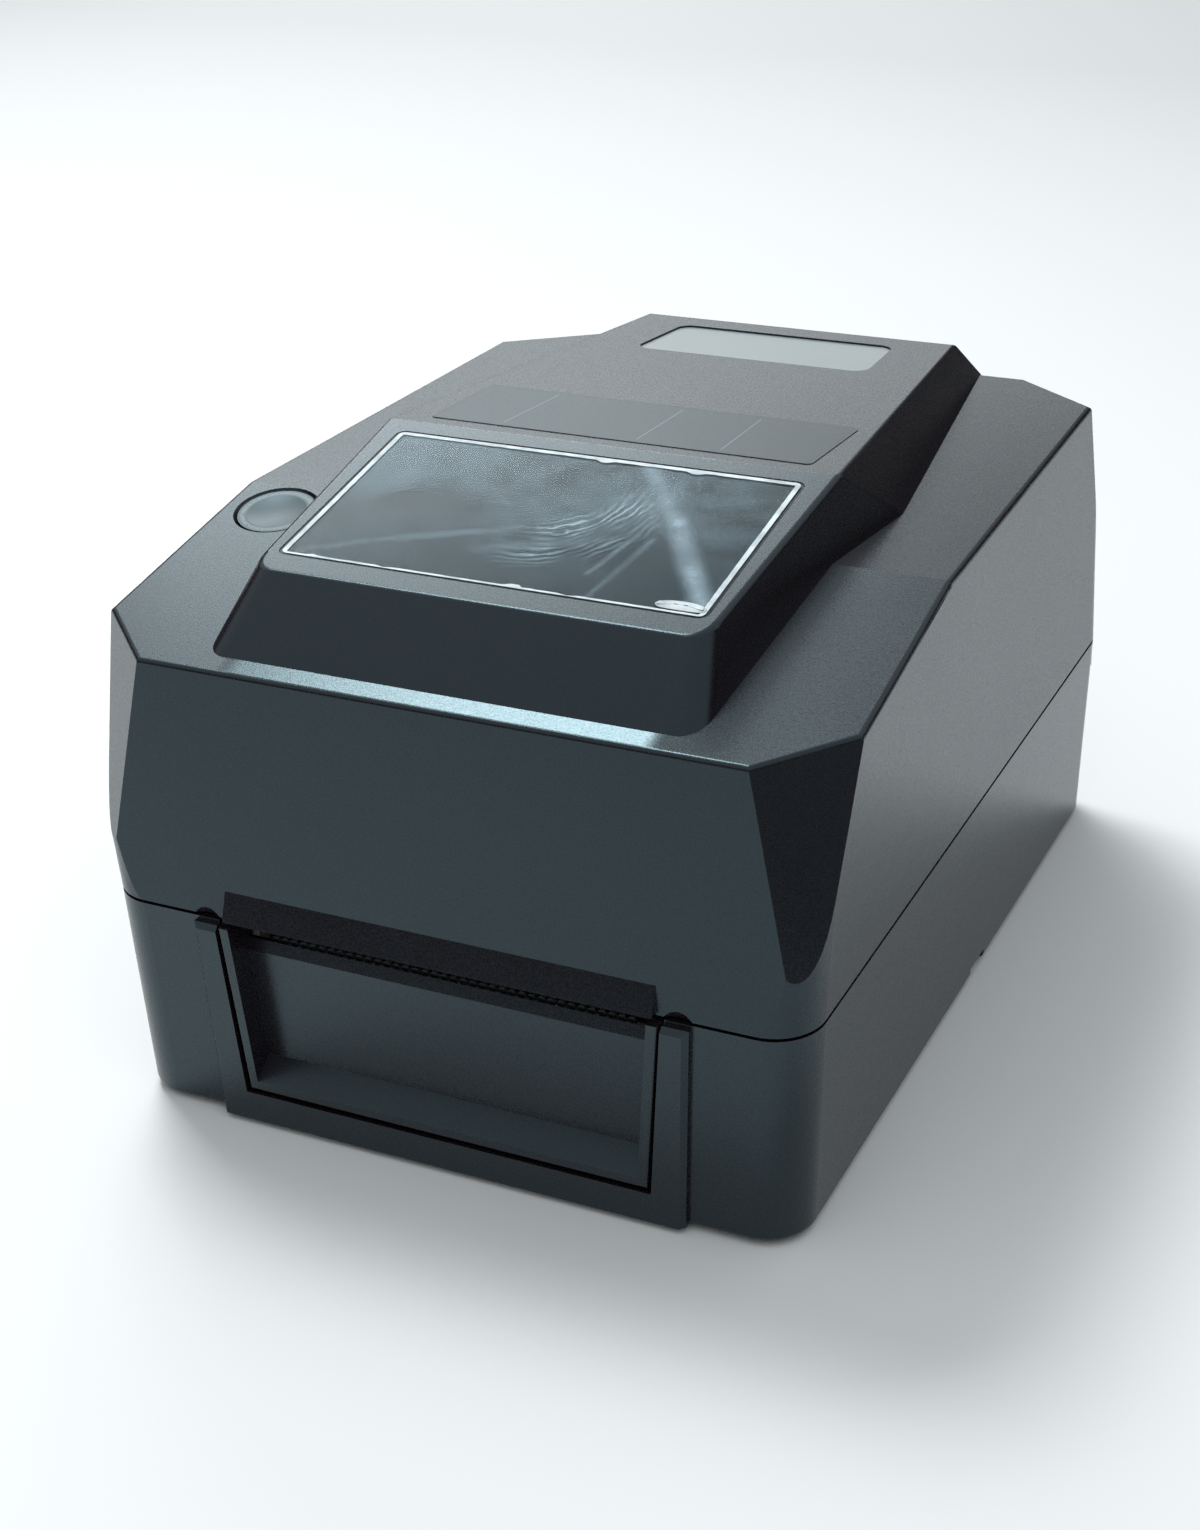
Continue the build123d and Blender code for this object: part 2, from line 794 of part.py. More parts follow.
# Feed button: dished cap with its plunger, and the light ring in its rim
flange_top = -button_tube_depth - slip
plunger_top = flange_top - button_flange
plunger_end = plunger_top - plunger_length
with BuildPart() as button_cap:
    with BuildSketch(button_plane.offset(flange_top)):
        Circle(button_cap_radius)
    extrude(amount=-button_sink - flange_top)
    with BuildSketch(button_plane.offset(plunger_top)):
        Circle(button_bore + wall / 2)
    extrude(amount=button_flange)
    with BuildSketch(button_plane.offset(plunger_end)):
        Circle(plunger_radius)
    extrude(amount=plunger_length)
    dish_radius = (button_dish_radius**2 + button_dish**2) / (2 * button_dish)
    with Locations(button_plane.offset(dish_radius - button_dish - button_sink)):
        Sphere(dish_radius, mode=Mode.SUBTRACT)
    with BuildSketch(button_plane.offset(-button_sink - ring_depth)):
        Circle(ring_radius + ring_width / 2)
        Circle(ring_radius - ring_width / 2, mode=Mode.SUBTRACT)
    extrude(amount=2 * ring_depth, mode=Mode.SUBTRACT)
button_cap.part.label = "button_cap"
export_step(button_cap.part, "parts/button_cap.step")

with BuildPart() as button_ring:
    with BuildSketch(button_plane.offset(-button_sink - ring_depth)):
        Circle(ring_radius + ring_width / 2)
        Circle(ring_radius - ring_width / 2, mode=Mode.SUBTRACT)
    extrude(amount=ring_depth)
button_ring.part.label = "button_ring"
export_step(button_ring.part, "parts/button_ring.step")

# Board under the button, with its switch, and the two screws that hold it
with BuildPart() as button_board:
    with BuildSketch(button_plane.offset(-button_board_depth)):
        SlotOverall(2 * button_post + 2 * post_radius + wall, 2 * post_radius + wall, rotation=90)
        with Locations((0, button_post), (0, -button_post)):
            Circle(screw_radius, mode=Mode.SUBTRACT)
    extrude(amount=-board_thickness)
    with BuildSketch(button_plane.offset(-button_board_depth)):
        Rectangle(2 * plunger_radius, 2 * plunger_radius)
    extrude(amount=plunger_end - button_travel - slip + button_board_depth)
button_board.part.label = "button_board"
export_step(button_board.part, "parts/button_board.step")

with BuildPart() as button_screws:
    with BuildSketch(button_plane.offset(-button_board_depth - board_thickness)):
        with Locations((0, button_post), (0, -button_post)):
            Circle(screw_radius)
    extrude(amount=board_thickness + post_grip)
    with BuildSketch(button_plane.offset(-button_board_depth - board_thickness)):
        with Locations((0, button_post), (0, -button_post)):
            Circle(2 * screw_radius)
    extrude(amount=-screw_head)
button_screws.part.label = "button_screws"
export_step(button_screws.part, "parts/button_screws.step")

# Hinge pins, pressed into the knuckles of the cover
with BuildPart() as hinge_pins:
    for side in (1, -1):
        across(hinge_pin_radius, 3 * lug_width, side * hinge_offset, (hinge_y, hinge_z))
hinge_pins.part.label = "hinge_pins"
export_step(hinge_pins.part, "parts/hinge_pins.step")

# Half width of the casing at a level
def casing_half(level):
    up = (level - foot_height) / (seam_height - foot_height)
    return (base_width + up * (seam_width - base_width)) / 2


# Block of the casing between two levels
def casing_block(bottom, top, inset):
    with BuildPart() as block:
        add(plan_outline(bottom, casing_half(bottom), casing_half(bottom), inset))
        add(plan_outline(top, casing_half(top), casing_half(top), inset))
        loft(ruled=True)
    return block.part


# Upright outline across the front at a depth, tapering to the bottom
def front_outline(depth, bottom, top, bottom_half, top_half):
    with BuildSketch(Plane.XZ.offset(-depth)) as outline:
        with BuildLine():
            Polyline(
                (-bottom_half, bottom),
                (bottom_half, bottom),
                (top_half, top),
                (-top_half, top),
                close=True,
            )
        make_face()
    return outline.sketch


# Lower casing
casing_outer = casing_block(foot_height, seam_height, 0)
casing_inner = casing_block(floor_top, seam_height, wall)
lip_lower = casing_block(seam_height - lip_root, seam_height, wall)
lip_upper = casing_block(seam_height, seam_height + lip_rise, wall + slip)
lip_inside = casing_block(seam_height - lip_root, seam_height + lip_rise, wall + slip + lip_wall)
with BuildPart() as rim_lip:
    add(lip_lower)
    add(lip_upper)
    add(lip_inside, mode=Mode.SUBTRACT)
    with Locations((0, hinge_y - 2 * barrel_radius, seam_height)):
        Box(
            seam_width,
            overall_depth,
            4 * lip_root,
            align=(Align.CENTER, Align.MIN, Align.CENTER),
            mode=Mode.SUBTRACT,
        )
    with Locations((0, front_y, seam_height)):
        Box(2 * (opening_top_half + panel_flange), 4 * case_corner, 4 * lip_root, mode=Mode.SUBTRACT)

with BuildPart() as base_housing:
    add(casing_outer)
    fillet(base_housing.edges().group_by(Axis.Z)[0], bottom_round)
    # raised label frame round the front opening
    frame_root = front_y + wall / 2
    extrude(
        front_outline(frame_root, foot_height, seam_height - frame_drop, frame_bottom_half, frame_top_half),
        amount=frame_proud + wall / 2,
    )
    frame_rim = base_housing.faces().sort_by(Axis.Y)[0].edges()
    chamfer([e for e in frame_rim if e.center().Z > foot_height + wall], frame_bevel)
    add(casing_inner, mode=Mode.SUBTRACT)
    add(rim_lip.part)
    # opening for the front panel, open at the top
    lip_depth = wall + lip_wall + 2 * slip
    extrude(
        front_outline(
            front_y + lip_depth,
            opening_sill,
            seam_height + 2 * lip_rise,
            opening_bottom_half,
            opening_top_half,
        ),
        amount=lip_depth + 2 * frame_proud,
        mode=Mode.SUBTRACT,
    )
    # ledge and trough for the rolled edge of the cover
    with BuildSketch(Plane.YZ):
        with BuildLine():
            Polyline(
                (rear_y - wall / 2, seam_height),
                (rear_y - wall / 2, trough_floor - ledge_height),
                (hinge_y - barrel_radius - ledge_wall, trough_floor),
                (hinge_y - barrel_radius - ledge_wall, seam_height),
                close=True,
            )
        make_face()
    extrude(amount=hinge_half, both=True)
    across(barrel_radius + hinge_clearance, 2 * (hinge_half + slip), 0, (hinge_y, hinge_z), Mode.SUBTRACT)
    with Locations((0, hinge_y, trough_floor)):
        Box(
            2 * (hinge_half + slip),
            overall_depth,
            seam_height,
            align=(Align.CENTER, Align.MIN, Align.MIN),
            mode=Mode.SUBTRACT,
        )
    # hinge lugs
    for side in (1, -1):
        with BuildSketch(Plane.YZ.offset(side * hinge_offset)):
            with Locations((hinge_y, hinge_z)):
                Circle(barrel_radius - slip)
            with Locations((hinge_y - barrel_radius + slip, hinge_z)):
                Rectangle(
                    barrel_radius + lug_tail,
                    hinge_z - trough_floor + wall,
                    align=(Align.MIN, Align.MAX),
                )
            with Locations((hinge_y, hinge_z)):
                Circle(hinge_pin_radius + shaft_clearance, mode=Mode.SUBTRACT)
        extrude(amount=lug_width / 2, both=True)
    # bosses under the plates and the main board
    with BuildSketch(Plane.XY.offset(floor_top)):
        with Locations(*plate_screw_places):
            Circle(pad_radius)
    extrude(amount=pad_height)
    with BuildSketch(Plane.XY.offset(floor_top)):
        with Locations(*board_screw_places):
            Circle(post_boss)
    extrude(amount=board_level - floor_top)
    # screw holes
    with BuildSketch(Plane.XY.offset(floor_top - screw_bite)):
        with Locations(*plate_screw_places, *board_screw_places):
            Circle(screw_radius)
    extrude(amount=pad_height + 2 * screw_bite, mode=Mode.SUBTRACT)
    # pockets for the feet, and the notch under the right side
    with BuildSketch(Plane.XY.offset(foot_height)):
        with Locations(*foot_places):
            Circle(foot_radius)
    extrude(amount=foot_pocket, mode=Mode.SUBTRACT)
    with Locations((base_width / 2, front_y + notch_setback, foot_height)):
        Box(
            2 * wall,
            notch_length,
            2 * notch_height,
            align=(Align.CENTER, Align.MIN, Align.CENTER),
            mode=Mode.SUBTRACT,
        )
    # rear wall: fan-fold slot, sockets and the switch recess
    with BuildSketch(Plane.XZ.offset(-rear_y - wall)):
        with Locations((0, fold_slot_height)):
            Rectangle(2 * fold_slot_half, fold_slot_gap, align=(Align.CENTER, Align.MIN))
        for place, width, height in sockets:
            with Locations((place, board_top)):
                Rectangle(width + 2 * slip, height + slip, align=(Align.CENTER, Align.MIN))
    extrude(amount=3 * wall, mode=Mode.SUBTRACT)
    with Locations((switch_offset, rear_y - wall / 2, switch_height)):
        Box(
            2 * (bezel_half_width + wall),
            bezel_depth + wall,
            2 * (bezel_half_height + wall),
            align=(Align.CENTER, Align.MAX, Align.CENTER),
        )
    with BuildSketch(Plane.XZ.offset(-rear_y - wall)):
        with Locations((switch_offset, switch_height)):
            Rectangle(2 * bezel_half_width, 2 * bezel_half_height)
    extrude(amount=wall + bezel_depth, mode=Mode.SUBTRACT)
    with BuildSketch(Plane.XZ.offset(-rear_y - wall)):
        with Locations((switch_offset, switch_height)):
            Rectangle(2 * (switch_half_width + slip), 2 * (switch_half_height + slip))
    extrude(amount=bezel_depth + 4 * wall, mode=Mode.SUBTRACT)
base_housing.part.label = "base_housing"
export_step(base_housing.part, "parts/base_housing.step")

# Threaded pillars under the side trims and the media tray
with BuildPart() as deck_pillars:
    with BuildSketch(Plane.XY.offset(floor_top)):
        with Locations(*deck_screw_places):
            RegularPolygon(post_boss, 6)
    extrude(amount=tray_deck_height - tray_thickness - floor_top)
    with BuildSketch(Plane.XY.offset(tray_deck_height - tray_thickness - screw_reach)):
        with Locations(*deck_screw_places):
            Circle(screw_radius)
    extrude(amount=screw_reach, mode=Mode.SUBTRACT)
deck_pillars.part.label = "deck_pillars"
export_step(deck_pillars.part, "parts/deck_pillars.step")

# Feet
with BuildPart() as feet:
    with BuildSketch():
        with Locations(*foot_places):
            Circle(foot_radius)
    extrude(amount=foot_height + foot_pocket)
    chamfer(feet.edges().group_by(Axis.Z)[0], foot_pocket / 2)
feet.part.label = "feet"
export_step(feet.part, "parts/feet.step")

# Front panel: dished plate with a sloping floor, open at the top for the labels
panel_front = front_y - frame_proud + slip
panel_back_y = panel_front + panel_recess + panel_back
panel_bottom = opening_sill + panel_gap
panel_top = seam_height - frame_drop
with BuildPart() as panel_hollow:
    hollow_bottom_half = opening_bottom_half - panel_gap - panel_rim
    hollow_top_half = opening_top_half - panel_gap - panel_rim
    extrude(
        front_outline(panel_back_y, panel_bottom, panel_top + panel_rim, hollow_bottom_half, hollow_top_half),
        amount=2 * panel_recess,
    )
    with BuildSketch(Plane.YZ):
        with BuildLine():
            Polyline(
                (panel_front - wall, panel_bottom + panel_rim),
                (panel_front, panel_bottom + panel_rim),
                (panel_front + panel_recess, panel_bottom + panel_rim + tray_rise),
                (panel_front + panel_recess, slot_sill - slot_bevel),
                (panel_back_y - panel_back / 2, slot_sill),
                (panel_back_y, slot_sill),
                (panel_back_y, panel_top + panel_rim),
                (panel_front - wall, panel_top + panel_rim),
                close=True,
            )
        make_face()
    extrude(amount=seam_width, both=True, mode=Mode.INTERSECT)

with BuildPart() as front_panel:
    panel_bottom_half = opening_bottom_half - panel_gap
    panel_top_half = opening_top_half - panel_gap
    extrude(
        front_outline(panel_back_y, panel_bottom, panel_top, panel_bottom_half, panel_top_half),
        amount=panel_recess + panel_back,
    )
    panel_rim_edges = front_panel.faces().sort_by(Axis.Y)[0].edges()
    fillet([e for e in panel_rim_edges if e.center().Z < panel_top - wall], panel_round)
    flange_depth = front_y + wall + panel_flange_thickness
    flange_bottom_half = panel_bottom_half + panel_flange
    extrude(
        front_outline(
            flange_depth,
            panel_bottom - panel_flange,
            panel_top,
            flange_bottom_half,
            panel_top_half + panel_flange,
        ),
        amount=panel_flange_thickness,
    )
    add(panel_hollow.part, mode=Mode.SUBTRACT)
front_panel.part.label = "front_panel"
export_step(front_panel.part, "parts/front_panel.step")

# Tear bar behind the label exit
tooth_count = int(2 * tear_bar_half / tear_pitch)
tear_top = slot_sill + tear_rise
with BuildPart() as tear_bar:
    with BuildSketch(Plane.XZ.offset(-panel_back_y - tear_bar_thickness)):
        with Locations((0, tear_top)):
            Rectangle(tooth_count * tear_pitch, tear_bar_height, align=(Align.CENTER, Align.MAX))
        for tooth in range(tooth_count + 1):
            with Locations(((tooth - tooth_count / 2) * tear_pitch, tear_top)):
                Rectangle(tear_depth, tear_depth, rotation=45, mode=Mode.SUBTRACT)
    extrude(amount=tear_bar_thickness)
tear_bar.part.label = "tear_bar"
export_step(tear_bar.part, "parts/tear_bar.step")

# Side plates of the print mechanism, with their feet bent outwards
plate_front = front_y + plate_front_setback
plate_rear = front_y + plate_rear_setback
plate_bottom = floor_top + pad_height
notch_bottoms = (supply_place, rewind_place)


def side_plate(side, bores):
    with BuildPart() as plate:
        with BuildSketch(Plane.YZ.offset(side * plate_inner)) as outline:
            with BuildLine():
                Polyline(
                    (plate_front, plate_bottom),
                    (plate_front, seam_height),
                    (rewind_place[0] - plate_shoulder, plate_top),
                    (supply_place[0] + plate_shoulder, plate_top),
                    (plate_rear, tray_deck_height),
                    (plate_rear, plate_bottom),
                    close=True,
                )
            make_face()
            fillet(outline.vertices(), plate_corner)
            for y, z in notch_bottoms:
                with Locations((y, z)):
                    Circle(journal_radius + shaft_clearance, mode=Mode.SUBTRACT)
                    Rectangle(
                        2 * (journal_radius + shaft_clearance),
                        plate_top,
                        align=(Align.CENTER, Align.MIN),
                        mode=Mode.SUBTRACT,
                    )
            for place, radius in bores:
                with Locations(place):
                    Circle(radius, mode=Mode.SUBTRACT)
        extrude(amount=side * plate_thickness)
        for tab_y in (plate_front + screw_inset, plate_rear - screw_inset):
            with Locations((side * plate_inner, tab_y, plate_bottom)):
                Box(
                    plate_flange,
                    tab_length,
                    plate_thickness,
                    align=(Align.MIN if side > 0 else Align.MAX, Align.CENTER, Align.MIN),
                )
        with BuildSketch(Plane.XY.offset(plate_bottom)):
            with Locations(*plate_screw_places):
                Circle(screw_radius)
        extrude(amount=plate_thickness, mode=Mode.SUBTRACT)
    return plate.part


common_bores = [
    (platen_place, bush_radius),
    (pivot_place, head_shaft_radius + shaft_clearance),
    (cam_place, head_shaft_radius + shaft_clearance),
    (guide_bar_place, head_shaft_radius),
    (sensor_place, sensor_rail_radius),
]
left_bores = [
    (drive_idler_place, stud_radius),
    (rewind_idler_place, stud_radius),
    (motor_place, motor_boss_radius + slip),
]
left_bores += [
    ((motor_place[0] + y, motor_place[1] + z), screw_radius + slip)
    for y, z in motor_screw_offsets
]

with BuildPart() as side_plate_left:
    add(side_plate(-1, common_bores + left_bores))
side_plate_left.part.label = "side_plate_left"
export_step(side_plate_left.part, "parts/side_plate_left.step")

with BuildPart() as side_plate_right:
    add(side_plate(1, common_bores))
side_plate_right.part.label = "side_plate_right"
export_step(side_plate_right.part, "parts/side_plate_right.step")

# Cross bar over the print head, with tabs bent down onto the plates
bar_y = front_y + spring_setback
with BuildPart() as cross_bar:
    with Locations((0, bar_y, spring_bar_height)):
        Box(plate_gap, spring_bar_width, spring_bar_thickness, align=(Align.CENTER, Align.CENTER, Align.MIN))
    for side in (1, -1):
        with Locations((side * plate_inner, bar_y, spring_bar_height)):
            Box(
                spring_bar_thickness,
                spring_bar_width,
                spring_tab,
                align=(Align.MAX if side > 0 else Align.MIN, Align.CENTER, Align.MIN),
            )
    with BuildSketch(Plane.XY.offset(spring_bar_height)):
        with Locations((spring_offset, bar_y), (-spring_offset, bar_y)):
            Circle(spring_radius - spring_wire - slip)
    extrude(amount=-spring_peg)
cross_bar.part.label = "cross_bar"
export_step(cross_bar.part, "parts/cross_bar.step")

# Bar that leads the ribbon under the print head
with BuildPart() as ribbon_guide_bar:
    across(head_shaft_radius, plate_gap + 2 * plate_thickness, 0, guide_bar_place)
ribbon_guide_bar.part.label = "ribbon_guide_bar"
export_step(ribbon_guide_bar.part, "parts/ribbon_guide_bar.step")

# Platen roller: rubber sleeve on a steel shaft, in two flanged bushings
with BuildPart() as platen_roller:
    across(platen_radius, platen_length, 0, platen_place)
    across(platen_shaft_radius, platen_length, 0, platen_place, Mode.SUBTRACT)
platen_roller.part.label = "platen_roller"
export_step(platen_roller.part, "parts/platen_roller.step")

shaft_left = -gear_plane - gear_width - shaft_end
shaft_right = plate_outer + shaft_end
with BuildPart() as platen_shaft:
    across(platen_shaft_radius, shaft_right - shaft_left, (shaft_left + shaft_right) / 2, platen_place)
platen_shaft.part.label = "platen_shaft"
export_step(platen_shaft.part, "parts/platen_shaft.step")

with BuildPart() as platen_bushings:
    for side in (1, -1):
        across(bush_radius, plate_thickness, side * (plate_inner + plate_thickness / 2), platen_place)
        across(bush_radius + wall, bush_flange, side * (plate_inner - bush_flange / 2), platen_place)
        across(
            platen_shaft_radius + shaft_clearance,
            plate_thickness + 2 * bush_flange,
            side * plate_inner,
            platen_place,
            Mode.SUBTRACT,
        )
platen_bushings.part.label = "platen_bushings"
export_step(platen_bushings.part, "parts/platen_bushings.step")

# Print head: ceramic board with its raised heater line
head_bottom = platen_height + platen_radius + head_gap
head_front = front_y + platen_setback - head_line_front
with BuildPart() as print_head:
    with BuildSketch(Plane.YZ):
        with BuildLine():
            Polyline(
                (head_front, head_bottom + head_ramp),
                (head_front + head_ramp, head_bottom),
                (head_front + head_length, head_bottom),
                (head_front + head_length, head_bottom + head_thickness),
                (head_front, head_bottom + head_thickness),
                close=True,
            )
        make_face()
    extrude(amount=head_width / 2, both=True)
print_head.part.label = "print_head"
export_step(print_head.part, "parts/print_head.step")

# Head bracket: plate with cooling fins and two arms, each an ear on the pivot shaft and a tail under a cam
bracket_bottom = head_bottom + head_thickness
bracket_top = bracket_bottom + 2 * plate_thickness
tail_top = head_pivot_height + tail_rise
tail_end = pivot_place[0] + tail_reach
arm_front = pivot_place[0] - 3 * ear_radius
with BuildPart() as head_bracket:
    with Locations((0, head_front, bracket_bottom)):
        Box(
            head_width,
            pivot_place[0] - 2 * ear_radius - head_front,
            bracket_top - bracket_bottom,
            align=(Align.CENTER, Align.MIN, Align.MIN),
        )
    for fin in range(fin_count):
        with Locations((0, head_front + fin_pitch * (fin + 0.5), bracket_top)):
            Box(head_width, fin_thickness, fin_height, align=(Align.CENTER, Align.CENTER, Align.MIN))
    for side in (1, -1):
        with BuildSketch(Plane.YZ.offset(side * cam_offset)):
            with BuildLine():
                Polyline(
                    (arm_front, bracket_bottom),
                    (pivot_place[0], bracket_bottom),
                    (tail_end, tail_top - tail_thickness),
                    (tail_end, tail_top),
                    (pivot_place[0], tail_top),
                    (arm_front, bracket_top),
                    close=True,
                )
            make_face()
            with Locations(pivot_place):
                Circle(ear_radius)
                Circle(head_shaft_radius, mode=Mode.SUBTRACT)
        extrude(amount=ear_width / 2, both=True)
head_bracket.part.label = "head_bracket"
export_step(head_bracket.part, "parts/head_bracket.step")

with BuildPart() as pivot_shaft:
    across(head_shaft_radius, plate_gap + 2 * plate_thickness, 0, pivot_place)
pivot_shaft.part.label = "pivot_shaft"
export_step(pivot_shaft.part, "parts/pivot_shaft.step")

# Two springs that press the print head onto the platen
with BuildPart() as head_springs:
    for side in (1, -1):
        spring_height = spring_bar_height - bracket_top - spring_wire
        spring_pitch = spring_height / spring_turns
        spring_middle = (side * spring_offset, bar_y, bracket_top + spring_wire / 2)
        with BuildLine() as coil:
            Helix(spring_pitch, spring_height, spring_radius - spring_wire / 2, center=spring_middle)
        with BuildSketch(Plane(origin=coil.line @ 0, z_dir=coil.line % 0)):
            Circle(spring_wire / 2)
        sweep(path=coil.line)
head_springs.part.label = "head_springs"
export_step(head_springs.part, "parts/head_springs.step")

# Cam shaft: the cams push the tails down in step with the lever
cam_arm = (cam_place[0] - pivot_place[0], cam_place[1] - pivot_place[1])
turn_share = head_lift / (lever_turn - head_lift)


# Point of the cam that meets the flat tail when the cam has turned this far past straight down
def cam_point(turned):
    lifted = math.radians(turned * turn_share)
    reach = cam_arm[0] * math.sin(lifted) + cam_arm[1] * math.cos(lifted) - tail_rise - cam_gap
    slope = (cam_arm[0] * math.cos(lifted) - cam_arm[1] * math.sin(lifted)) * turn_share
    down = math.radians(turned - 90)
    y = reach * math.cos(down) - slope * math.sin(down)
    z = reach * math.sin(down) + slope * math.cos(down)
    return (cam_place[0] + y, cam_place[1] + z)


with BuildPart() as cam_shaft:
    shaft_reach = plate_gap / 2 + plate_thickness + gear_gap + lever_thickness
    across(head_shaft_radius, plate_outer + shaft_reach, (shaft_reach - plate_outer) / 2, cam_place)
    for side in (1, -1):
        with BuildSketch(Plane.YZ.offset(side * cam_offset)):
            with Locations(cam_place):
                Circle(cam_heel)
            with BuildLine():
                Polyline(cam_place, *[cam_point(turned) for turned in cam_turns], close=True)
            make_face()
        extrude(amount=cam_width / 2, both=True)
cam_shaft.part.label = "cam_shaft"
export_step(cam_shaft.part, "parts/cam_shaft.step")

# Lever that lifts the print head
lever_tip = (cam_place[0] - lever_length, cam_place[1])
with BuildPart() as head_lever:
    with BuildSketch(Plane.YZ.offset(plate_outer + gear_gap)):
        with BuildLine():
            Polyline(
                (cam_place[0], cam_place[1] - 2 * head_shaft_radius),
                (lever_tip[0], lever_tip[1] - lever_width),
                (lever_tip[0], lever_tip[1] + lever_width),
                (cam_place[0], cam_place[1] + 2 * head_shaft_radius),
                close=True,
            )
        make_face()
        with Locations(cam_place):
            Circle(2 * head_shaft_radius)
        with Locations(lever_tip):
            Circle(lever_width)
        with Locations(cam_place):
            Circle(head_shaft_radius, mode=Mode.SUBTRACT)
    extrude(amount=lever_thickness)
    lever_rim = head_lever.faces().sort_by(Axis.X)[-1].outer_wire().edges()
    fillet(lever_rim, 1)
head_lever.part.label = "head_lever"
export_step(head_lever.part, "parts/head_lever.step")


# Ribbon spindle: core with four ribs, journals that lie in the plate notches
def spindle(place, left_reach, right_reach):
    with BuildPart() as body:
        with BuildSketch(Plane.YZ.offset(-spindle_length / 2)):
            with Locations(place):
                Circle(spindle_radius)
                with PolarLocations(0, 4):
                    Rectangle(spindle_fin_radius, spindle_fin_thickness, align=(Align.MIN, Align.CENTER))
        extrude(amount=spindle_length)
        across(journal_radius, left_reach + right_reach, (right_reach - left_reach) / 2, place)
        for side in (1, -1):
            across(spindle_fin_radius + wall, plate_thickness, side * spindle_length / 2, place)
    return body.part


with BuildPart() as supply_spindle:
    add(spindle(supply_place, plate_outer + wall, plate_outer + wall))
supply_spindle.part.label = "supply_spindle"
export_step(supply_spindle.part, "parts/supply_spindle.step")

with BuildPart() as rewind_spindle:
    add(spindle(rewind_place, gear_plane + gear_width + wall, plate_outer + wall))
rewind_spindle.part.label = "rewind_spindle"
export_step(rewind_spindle.part, "parts/rewind_spindle.step")


# Toothed wheel outside the left plate, with one tooth at the given angle
def gear(teeth, phase, place, bore):
    with BuildPart() as wheel:
        with BuildSketch(Plane.YZ.offset(-gear_plane - gear_width)):
            with BuildLine():
                Polyline(*wheel_outline(teeth, phase, place), close=True)
            make_face()
            with Locations(place):
                Circle(bore, mode=Mode.SUBTRACT)
        extrude(amount=gear_width)
    return wheel.part


with BuildPart() as platen_gear:
    add(gear(platen_teeth, platen_phase, platen_place, platen_shaft_radius))
platen_gear.part.label = "platen_gear"
export_step(platen_gear.part, "parts/platen_gear.step")

with BuildPart() as drive_idler:
    add(gear(drive_idler_teeth, drive_idler_phase, drive_idler_place, stud_radius + shaft_clearance))
drive_idler.part.label = "drive_idler"
export_step(drive_idler.part, "parts/drive_idler.step")

with BuildPart() as rewind_idler:
    add(gear(rewind_idler_teeth, rewind_idler_phase, rewind_idler_place, stud_radius + shaft_clearance))
rewind_idler.part.label = "rewind_idler"
export_step(rewind_idler.part, "parts/rewind_idler.step")

with BuildPart() as rewind_gear:
    add(gear(rewind_teeth, rewind_phase, rewind_place, journal_radius))
rewind_gear.part.label = "rewind_gear"
export_step(rewind_gear.part, "parts/rewind_gear.step")

# Motor pinion with its shaft
with BuildPart() as motor_pinion:
    add(gear(pinion_teeth, pinion_phase, motor_place, motor_shaft_radius))
    across(
        motor_shaft_radius,
        gear_plane + gear_width - plate_inner + motor_shaft_depth,
        -(gear_plane + gear_width + plate_inner - motor_shaft_depth) / 2,
        motor_place,
    )
motor_pinion.part.label = "motor_pinion"
export_step(motor_pinion.part, "parts/motor_pinion.step")

# Studs that carry the idlers, with a shoulder on the plate and a clip at the end
with BuildPart() as idler_studs:
    for place in (drive_idler_place, rewind_idler_place):
        stud_length = gear_plane + gear_width + clip_thickness + slip - plate_inner
        across(stud_radius, stud_length + slip, -plate_inner - (stud_length + slip) / 2, place)
        across(stud_radius + wall, gear_gap - slip, -plate_outer - (gear_gap - slip) / 2, place)
        across(
            stud_radius + wall / 2,
            clip_thickness,
            -gear_plane - gear_width - slip - clip_thickness / 2,
            place,
        )
idler_studs.part.label = "idler_studs"
export_step(idler_studs.part, "parts/idler_studs.step")

# Stepper motor on the inner side of the left plate
with BuildPart() as drive_motor:
    with BuildSketch(Plane.YZ.offset(-plate_inner)) as motor_face:
        with Locations(motor_place):
            Rectangle(motor_size, motor_size)
        chamfer(motor_face.vertices(), motor_corner)
    extrude(amount=motor_length)
    across(motor_boss_radius, plate_thickness, -plate_inner - plate_thickness / 2, motor_place)
    across(
        motor_shaft_radius + shaft_clearance,
        2 * (plate_thickness + motor_shaft_depth),
        -plate_inner,
        motor_place,
        Mode.SUBTRACT,
    )
    for y, z in motor_screw_offsets:
        across(
            screw_radius,
            screw_reach,
            -plate_inner + screw_reach / 2,
            (motor_place[0] + y, motor_place[1] + z),
            Mode.SUBTRACT,
        )
drive_motor.part.label = "drive_motor"
export_step(drive_motor.part, "parts/drive_motor.step")

with BuildPart() as motor_screws:
    for y, z in motor_screw_offsets:
        place = (motor_place[0] + y, motor_place[1] + z)
        across(screw_radius, screw_reach, -plate_outer + screw_reach / 2, place)
        across(2 * screw_radius, screw_head, -plate_outer - screw_head / 2, place)
motor_screws.part.label = "motor_screws"
export_step(motor_screws.part, "parts/motor_screws.step")

